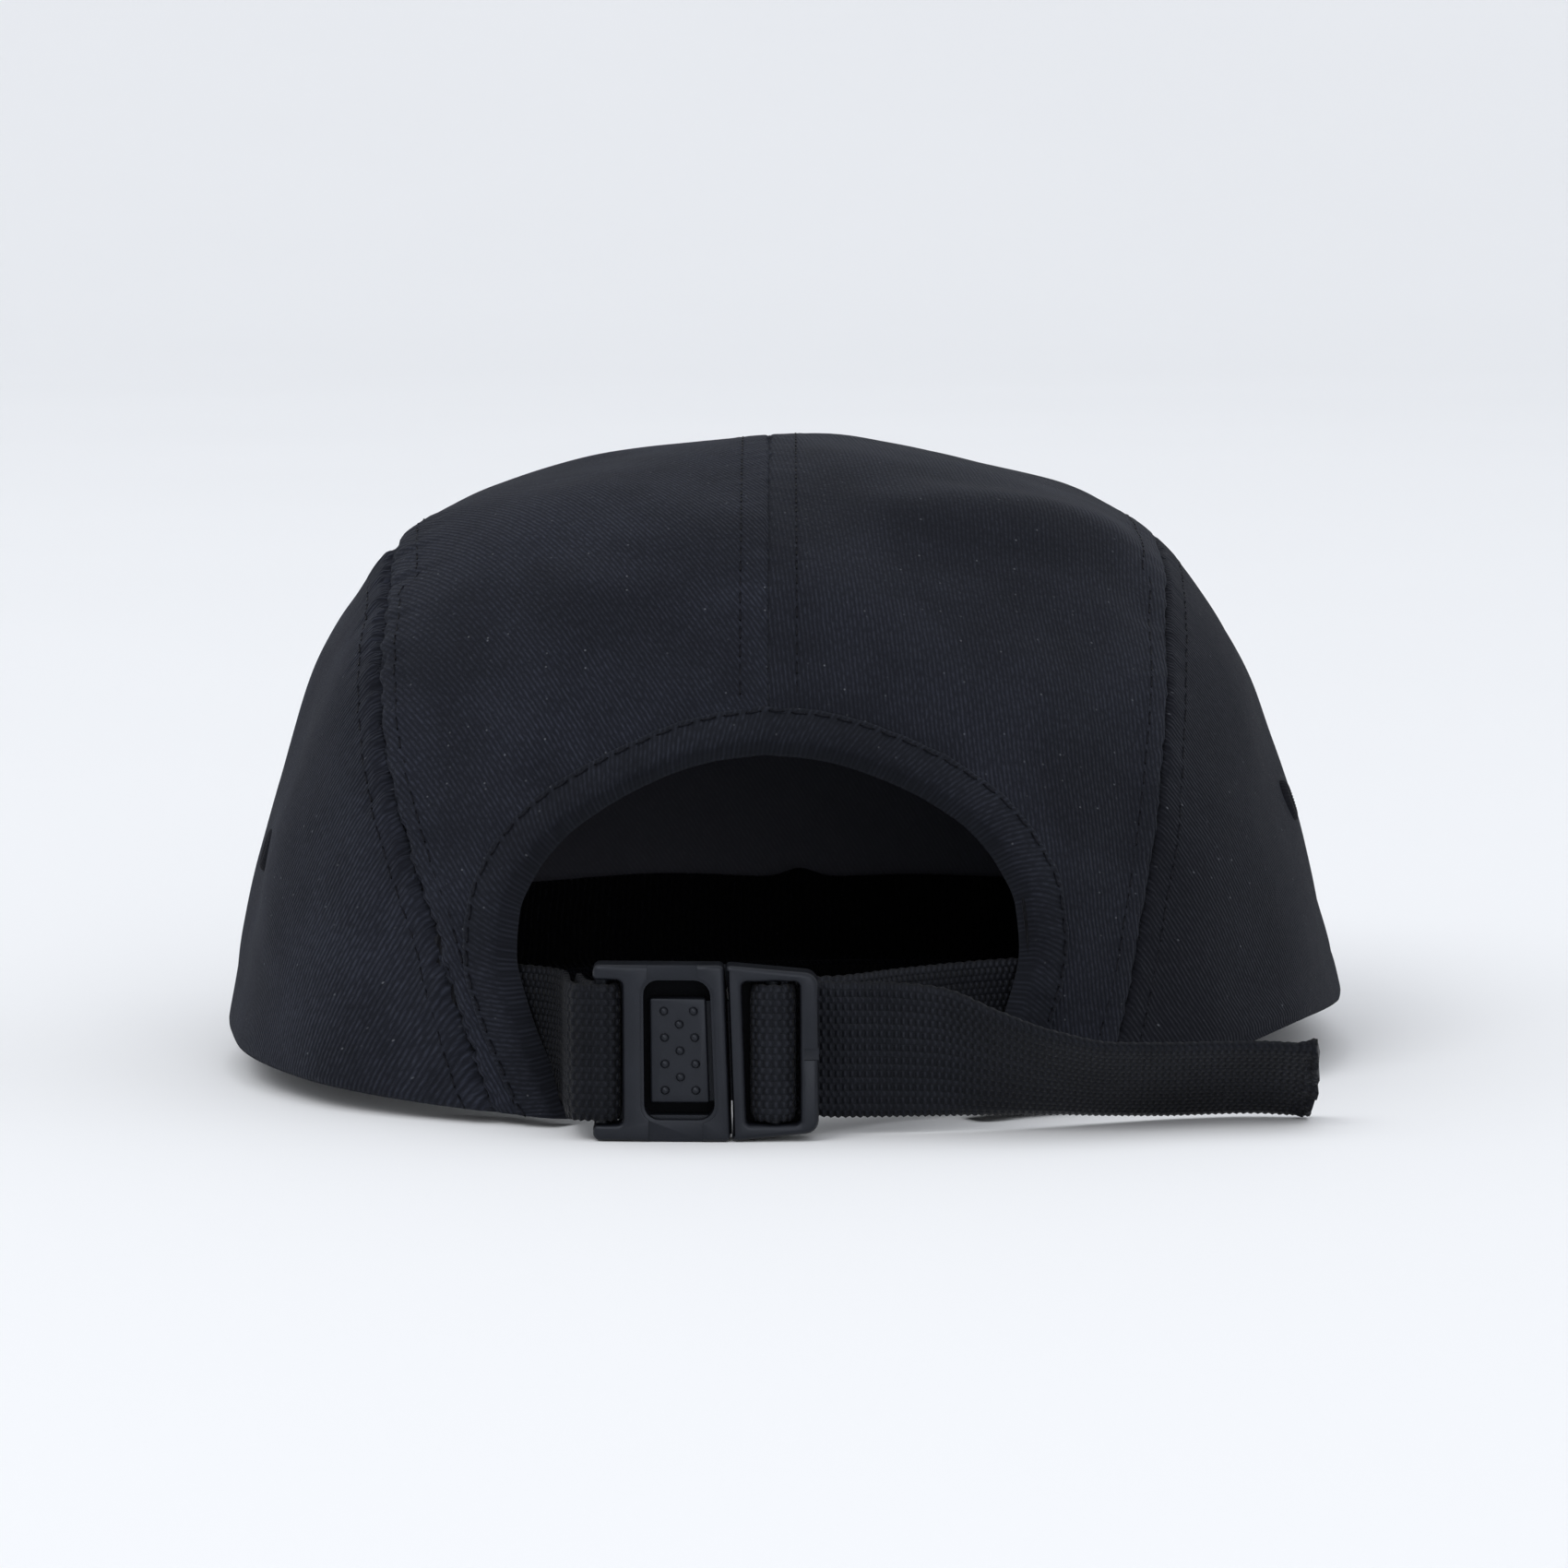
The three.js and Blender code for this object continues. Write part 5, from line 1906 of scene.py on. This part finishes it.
    def build(self, finishes: Finishes) -> None:
        """Builds both straps.

        Args:
            finishes: the cap's materials.
        """
        step = 0.32 * MM
        low, high = self.upright(smooth_path(self.short_path(), step))
        piece = self.band("short_webbing_strap", low, high, frayed=False)
        # The short strap wears the darker webbing as painted shade.
        dress(piece, finishes.shaded_webbing, "webbing", "strap_short")
        low, high = self.upright(smooth_path(self.long_path(), step))
        tail_low, tail_high = self.tail_edges(low[-1], step)
        low, high = np.vstack([low, tail_low]), np.vstack([high, tail_high])
        piece = self.band("long_webbing_strap", low, high, frayed=True)
        dress(piece, finishes.webbing, "webbing", "strap_long")


@dataclass
class Buckle:
    """The fastened clip buckle: a socket with a window, and an insert with a press tongue."""

    straps: Straps
    dot_radius: float = 0.66 * MM
    slant: float = 0.036
    belly: float = 0.55 * MM
    bow: float = 2.4

    # Millimetres in the crown's own frame; the joint is where the insert ends and the socket starts.
    THICK = 6
    FOOT = 0.1
    HEAD = 26.4
    JOINT = (8.15, 8.45)
    DOTS = {"middle": (15.7, 13.5), "across": 2.15, "up": 1.97, "rows": 7}

    @property
    def origin(self) -> Vector:
        """Where the crown's own frame sits in the cap's."""
        return Vector(self.straps.form.origin)

    @property
    def face(self) -> float:
        """Place of the buckle's outer face, in millimetres."""
        return self.straps.face_y / MM

    def block(self, name: str, low: Triple, high: Triple) -> Piece:
        """Adds a cube between two corners given in millimetres of the crown's own frame.

        Args:
            name: the block's name.
            low: its lowest corner.
            high: its highest corner.

        Returns:
            The block.
        """
        lower, upper = Vector(low) * MM, Vector(high) * MM
        made = add_mesh(bpy.ops.mesh.primitive_cube_add, name, size=1, location=(0, 0, 0))
        edit_whole(made)
        bpy.ops.transform.resize(value=tuple(upper - lower), center_override=(0, 0, 0))
        bpy.ops.transform.translate(value=tuple((lower + upper) / 2 + self.origin))
        leave_edit()
        return made

    def round_edges(self, piece: Piece, width: float, segments: int = 3) -> None:
        """Rounds all sharp edges of a piece.

        Args:
            piece: the piece.
            width: the bevel's width in millimetres.
            segments: its steps.
        """
        limit = {"limit_method": "ANGLE", "angle_limit": math.radians(40)}
        apply_modifier(piece, "BEVEL", width=width * MM, segments=segments, **limit)

    def round_uprights(self, piece: Piece, width: float, test: Callable | None = None) -> None:
        """Rounds the edges that run front to back, where the test holds for their x.

        Args:
            piece: the piece.
            width: the bevel's width in millimetres.
            test: tells from an edge's x in the crown's own frame whether it is rounded.
        """
        select_only(piece)
        bpy.ops.object.mode_set(mode="EDIT")
        work = bmesh.from_edit_mesh(piece.data)
        for edge in work.edges:
            a, b = edge.verts
            runs_back = abs(a.co.y - b.co.y) > 0.5 * MM and abs(a.co.x - b.co.x) < 1e-5
            edge.select_set(bool(runs_back and (test is None or test(a.co.x - self.origin.x))))
        bmesh.update_edit_mesh(piece.data)
        bpy.ops.mesh.bevel(offset=width * MM, segments=5)
        leave_edit()

    def cut(self, piece: Piece, tool: Piece) -> None:
        """Cuts a tool out of a piece and deletes the tool."""
        apply_modifier(piece, "BOOLEAN", operation="DIFFERENCE", object=tool, solver="EXACT")
        bpy.data.objects.remove(tool)

    def join(self, piece: Piece, other: Piece) -> None:
        """Fuses another piece into this one and deletes the other."""
        apply_modifier(piece, "BOOLEAN", operation="UNION", object=other, solver="EXACT")
        bpy.data.objects.remove(other)

    def settle(self, piece: Piece) -> None:
        """Gives a half its slanted joint and its slight bow, and shades it.

        Args:
            piece: the half.
        """
        points = mesh_points(piece)
        local = points - np.array(self.origin)
        height = local[:, 2] - 13 * MM
        near_joint = np.exp(-(((local[:, 0] - 9 * MM) / (9 * MM)) ** 2))
        belly = self.belly * (1 - (height / (13 * MM)) ** 2)
        points[:, 0] += (self.slant * height - belly) * near_joint
        points[:, 1] -= self.bow * (local[:, 0] - self.straps.buckle_x) ** 2
        set_points(piece, points)
        face_outwards(piece)
        piece.data.shade_smooth()
        piece.data.set_sharp_from_angle(angle=math.radians(30))

    def strap_bar(self, piece: Piece, x: float, radius: float) -> None:
        """Fuses an upright round bar for a strap into a half.

        Args:
            piece: the half.
            x: the bar's place across, in millimetres.
            radius: in millimetres.
        """
        middle_y = (self.straps.face_y - self.straps.buckle_thickness / 2) / MM
        place = Vector((x, middle_y, (self.FOOT + self.HEAD) / 2)) * MM + self.origin
        size = {"vertices": 24, "radius": radius * MM, "depth": 21.8 * MM}
        bar = add_mesh(bpy.ops.mesh.primitive_cylinder_add, "bar", location=place, **size)
        bpy.ops.object.transform_apply(location=True, rotation=False, scale=False)
        self.join(piece, bar)

    def build_socket(self, finishes: Finishes) -> None:
        """Builds the socket: its frame, its window's sunk rim and the sunk middle of its rails.

        Args:
            finishes: the cap's materials.
        """
        face, back = self.face, self.face - self.THICK
        low, high = (self.JOINT[1], back, self.FOOT), (28.3, face, self.HEAD)
        body = self.block("buckle_socket_body", low, high)
        self.round_uprights(body, 1.1, lambda x: x > 20 * MM)
        window = self.block("window", (10.9, back - 1, 3.3), (20.8, face + 1, 24.1))
        self.round_uprights(window, 2.2)
        self.cut(body, window)
        strap_way = self.block("strap way", (23.9, back - 1, 2.5), (29.5, face + 1, 24.1))
        self.round_uprights(strap_way, 0.9, lambda x: x < 25 * MM)
        self.cut(body, strap_way)
        self.round_edges(body, 0.75, 4)
        rim = self.block("rim", (10.4, face - 0.5, 2.85), (21.3, face + 1, 24.5))
        self.round_uprights(rim, 2.5)
        self.cut(body, rim)
        self.cut(body, self.block("upper step", (12.4, face - 0.45, 23.2), (20.2, face + 1, 27)))
        self.cut(body, self.block("lower step", (12.4, face - 0.4, -1), (20.2, face + 1, 3.2)))
        tongue_back = back + 1.4
        channel = self.block("channel", (7, tongue_back - 0.3, 5.1), (12, tongue_back + 1.9, 21.4))
        self.cut(body, channel)
        self.round_edges(body, 0.2, 2)
        self.join(body, self.block("shelf", (11.2, back + 0.6, 3.1), (20.4, face - 2.2, 3.8)))
        self.join(body, self.block("bar screen", (23.5, back + 0.3, 2.3), (24.6, back + 0.8, 24.3)))
        self.join(body, self.block("joint lip", (8.19, back + 0.3, 0.6), (9.2, back + 1.0, 25.9)))
        self.strap_bar(body, self.straps.buckle_x / MM + 18.6, 1.0)
        self.settle(body)
        dress(body, finishes.plastic, "plastic", "buckle_socket")
        # A near-black plate behind the window, standing in for the shade inside it: painted shade.
        floor = self.block("buckle_window_shade_floor", (9.9, back + 0.3, 2.2), (21.6, back + 0.9, 24.6))
        dress(floor, finishes.shadow, "plastic")

    def build_insert(self, finishes: Finishes) -> None:
        """Builds the insert, its press tongue and the dots on it.

        Args:
            finishes: the cap's materials.
        """
        face, back = self.face, self.face - self.THICK
        low, high = (-5.1, back, self.FOOT), (self.JOINT[0], face, self.HEAD)
        body = self.block("buckle_insert_body", low, high)
        points = mesh_points(body)
        local = (points - np.array(self.origin)) / MM
        points[:, 2] += 1.3 * (local[:, 0] < 0) * np.sign(13 - local[:, 2]) * MM
        set_points(body, points)
        self.round_uprights(body, 1.8, lambda x: x < 0)
        slot = self.block("slot", (-2.35, back - 1, 2.6), (6.1, face + 1, 23.9))
        self.round_uprights(slot, 0.8)
        self.cut(body, slot)
        self.round_edges(body, 0.75, 4)
        self.cut(body, self.block("notch", (-6, face - 0.7, 12.2), (-2.9, face + 1, 14.0)))
        self.cut(body, self.block("waist", (7.8, back - 1, 6), (9, face + 1, 20.5)))
        self.round_edges(body, 0.15, 2)
        self.strap_bar(body, self.straps.buckle_x / MM - 6.7, 1.3)
        self.settle(body)
        dress(body, finishes.plastic, "plastic", "buckle_insert")
        # A near-black sheet and sill behind the slot, standing in for the shade between strap and
        # frame: painted shade.
        screen = self.block("buckle_slot_shade_screen", (4.2, back + 0.3, 1.6), (6.8, back + 0.8, 23.8))
        self.join(screen, self.block("sill", (-2.6, back + 0.35, 1.5), (4.6, back + 0.75, 3.5)))
        dress(screen, finishes.shadow, "plastic")
        self.build_tongue(finishes, face, back + 1.4)

    def build_tongue(self, finishes: Finishes, face: float, tongue_back: float) -> None:
        """Builds the press plate with its raised dots.

        Args:
            finishes: the cap's materials.
            face: place of the buckle's outer face, in millimetres.
            tongue_back: place of the tongue's inner face, in millimetres.
        """
        low, high = (11.6, tongue_back + 0.2, 5.7), (19.9, face - 1.6, 21.3)
        plate = self.block("buckle_press_plate", low, high)
        self.round_edges(plate, 0.35)
        self.join(plate, self.block("neck", (7.3, tongue_back, 5.8), (18, tongue_back + 1.0, 20.7)))
        (centre_x, centre_z), pitch_x, pitch_z, rows = self.DOTS.values()
        for row in range(rows):
            shifts = (-pitch_x, pitch_x) if row % 2 == 0 else (0.0,)
            for shift in shifts:
                z = centre_z + (rows // 2 - row) * pitch_z
                place = Vector((centre_x + shift, face - 1.62, z)) * MM
                ball = {"segments": 20, "ring_count": 12, "radius": self.dot_radius}
                where = place + self.origin
                dot = add_mesh(bpy.ops.mesh.primitive_uv_sphere_add, "dot", location=where, **ball)
                bpy.ops.object.transform_apply(location=True, rotation=False, scale=False)
                self.join(plate, dot)
        self.settle(plate)
        dress(plate, finishes.plastic, "plastic")

    def build(self, finishes: Finishes) -> None:
        """Builds both halves."""
        self.build_socket(finishes)
        self.build_insert(finishes)


@dataclass
class Studio:
    """A plain pale floor, soft light and the camera."""

    distance: float = 1.0
    camera_height: float = 0.15
    focal_pixels: float = 7400
    frame_pixels: float = 1700
    floor_row: float = 1239
    sky: float = 0.84
    key: float = 133
    fill: float = 84

    LOW_SKY = (0.62, 0.63, 0.66, 1)
    HIGH_SKY = (1.1, 1.12, 1.16, 1)
    SEEN_SKY = (1.04, 1.065, 1.11, 1)
    FLOOR = (0.86, 0.87, 0.885, 1), (0.88, 0.89, 0.905, 1)

    def build(self, face_y: float, middle_x: float) -> None:
        """Builds the floor, the lights, the sky and the camera.

        Args:
            face_y: place of the buckle's outer face.
            middle_x: the crown's middle.
        """
        self.floor()
        world = bpy.data.worlds.new("studio sky")
        world.use_nodes = True
        sky = NodeTree(world.node_tree)
        around = sky.add("ShaderNodeTexCoord").outputs[0]
        place = sky.feed(sky.add("ShaderNodeSeparateXYZ"), Vector=around)
        height = sky.remap(place.outputs[2], 0.0, 0.9)
        tint = sky.mix(height, self.LOW_SKY, self.HIGH_SKY)
        seen = sky.add("ShaderNodeLightPath").outputs["Is Camera Ray"]
        tint = sky.mix(seen, tint, self.SEEN_SKY)
        sky.feed(world.node_tree.nodes["Background"], Color=tint, Strength=self.sky)
        bpy.context.scene.world = world
        self.light("key", (3.0, 4.2, 5.0), size=3.2, power=self.key)
        self.light("fill", (-1.2, 6.0, 1.9), size=3.4, power=self.fill)
        self.camera(face_y, middle_x)
        bpy.context.scene.view_settings.view_transform = "Standard"
        bpy.context.scene.view_settings.look = "None"

    def floor(self) -> None:
        """Builds a pale floor that sweeps up into a wall far behind the cap."""
        plane = {"size": 12, "location": (0, 0, 0)}
        floor = add_mesh(bpy.ops.mesh.primitive_plane_add, "studio_floor", **plane)
        bpy.ops.object.mode_set(mode="EDIT")
        self.choose_far_edge(floor)
        bpy.ops.mesh.extrude_region_move(TRANSFORM_OT_translate={"value": (0, 0, 6)})
        self.choose_far_edge(floor)
        bpy.ops.mesh.bevel(offset=3.0, segments=24)
        leave_edit()
        floor.data.shade_smooth()
        material, nodes, shader = new_material("pale floor")
        grain = nodes.noise(nodes.add("ShaderNodeTexCoord").outputs["Object"], 3.0, 2.0)
        nodes.feed(shader, Base_Color=nodes.mix(grain, *self.FLOOR))
        nodes.feed(shader, Roughness=0.85, Specular_IOR_Level=0.1)
        floor.data.materials.append(material)

    def choose_far_edge(self, floor: Piece) -> None:
        """Selects only the floor's far low edge, in edit mode.

        Args:
            floor: the floor's plane.
        """
        bpy.ops.mesh.select_mode(type="EDGE")
        bpy.ops.mesh.select_all(action="DESELECT")
        work = bmesh.from_edit_mesh(floor.data)
        for edge in work.edges:
            edge.select_set(all(vert.co.y < -1 and vert.co.z < 1 for vert in edge.verts))
        bmesh.update_edit_mesh(floor.data)

    def light(self, name: str, place: Triple, size: float, power: float) -> None:
        """Adds a soft square light that looks at the cap.

        Args:
            name: its name.
            place: where it stands.
            size: its width.
            power: in watts.
        """
        data = bpy.data.lights.new(name, "AREA")
        data.size, data.energy = size, power
        lamp = bpy.data.objects.new(name, data)
        lamp.location = place
        aim = Vector((0, 0, 0.05)) - Vector(place)
        lamp.rotation_euler = aim.to_track_quat("-Z", "Y").to_euler()
        bpy.context.scene.collection.objects.link(lamp)

    def camera(self, face_y: float, middle_x: float) -> None:
        """Sets the camera behind the cap, looking slightly down.

        Args:
            face_y: place of the buckle's outer face.
            middle_x: place of the crown's middle.
        """
        data = bpy.data.cameras.new("camera")
        data.sensor_width = 36
        data.lens = 36 * self.focal_pixels / self.frame_pixels
        data.clip_end = 100
        below = math.atan((self.floor_row - self.frame_pixels / 2) / self.focal_pixels)
        pitch = math.atan(self.camera_height / self.distance) - below
        camera = bpy.data.objects.new("camera", data)
        camera.location = (middle_x, face_y + self.distance, self.camera_height)
        camera.rotation_euler = (math.pi / 2 - pitch, 0, math.pi)
        bpy.context.scene.collection.objects.link(camera)
        bpy.context.scene.camera = camera


def crown_origin() -> Array:
    """Finds where the crown's own frame sits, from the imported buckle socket."""
    low, high = (np.array(corner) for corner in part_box("buckle_socket"))
    face = 94 + 14.6
    joint, foot = Buckle.JOINT[1], Buckle.FOOT
    return np.array([low[0] - joint * MM, high[1] - face * MM, low[2] - foot * MM])


def main() -> None:
    """Builds every piece of the cap in order, then the studio."""
    logging.basicConfig(level=logging.INFO, format="%(name)s: %(message)s")
    finishes = Finishes()
    form = CrownForm(origin=crown_origin())
    straps = Straps(form)
    Studio().build(float(form.origin[1]) + straps.face_y, float(form.origin[0]))
    crown = Crown(form)
    crown.build(finishes)
    Stitching(crown).build(finishes)
    Binding().build(crown, finishes)
    Sweatband().build(form, finishes)
    for side in Side:
        Eyelet(side).build(form, finishes)
    Visor().build(finishes)
    straps.build(finishes)
    Buckle(straps).build(finishes)


if __name__ == "__main__":
    main()
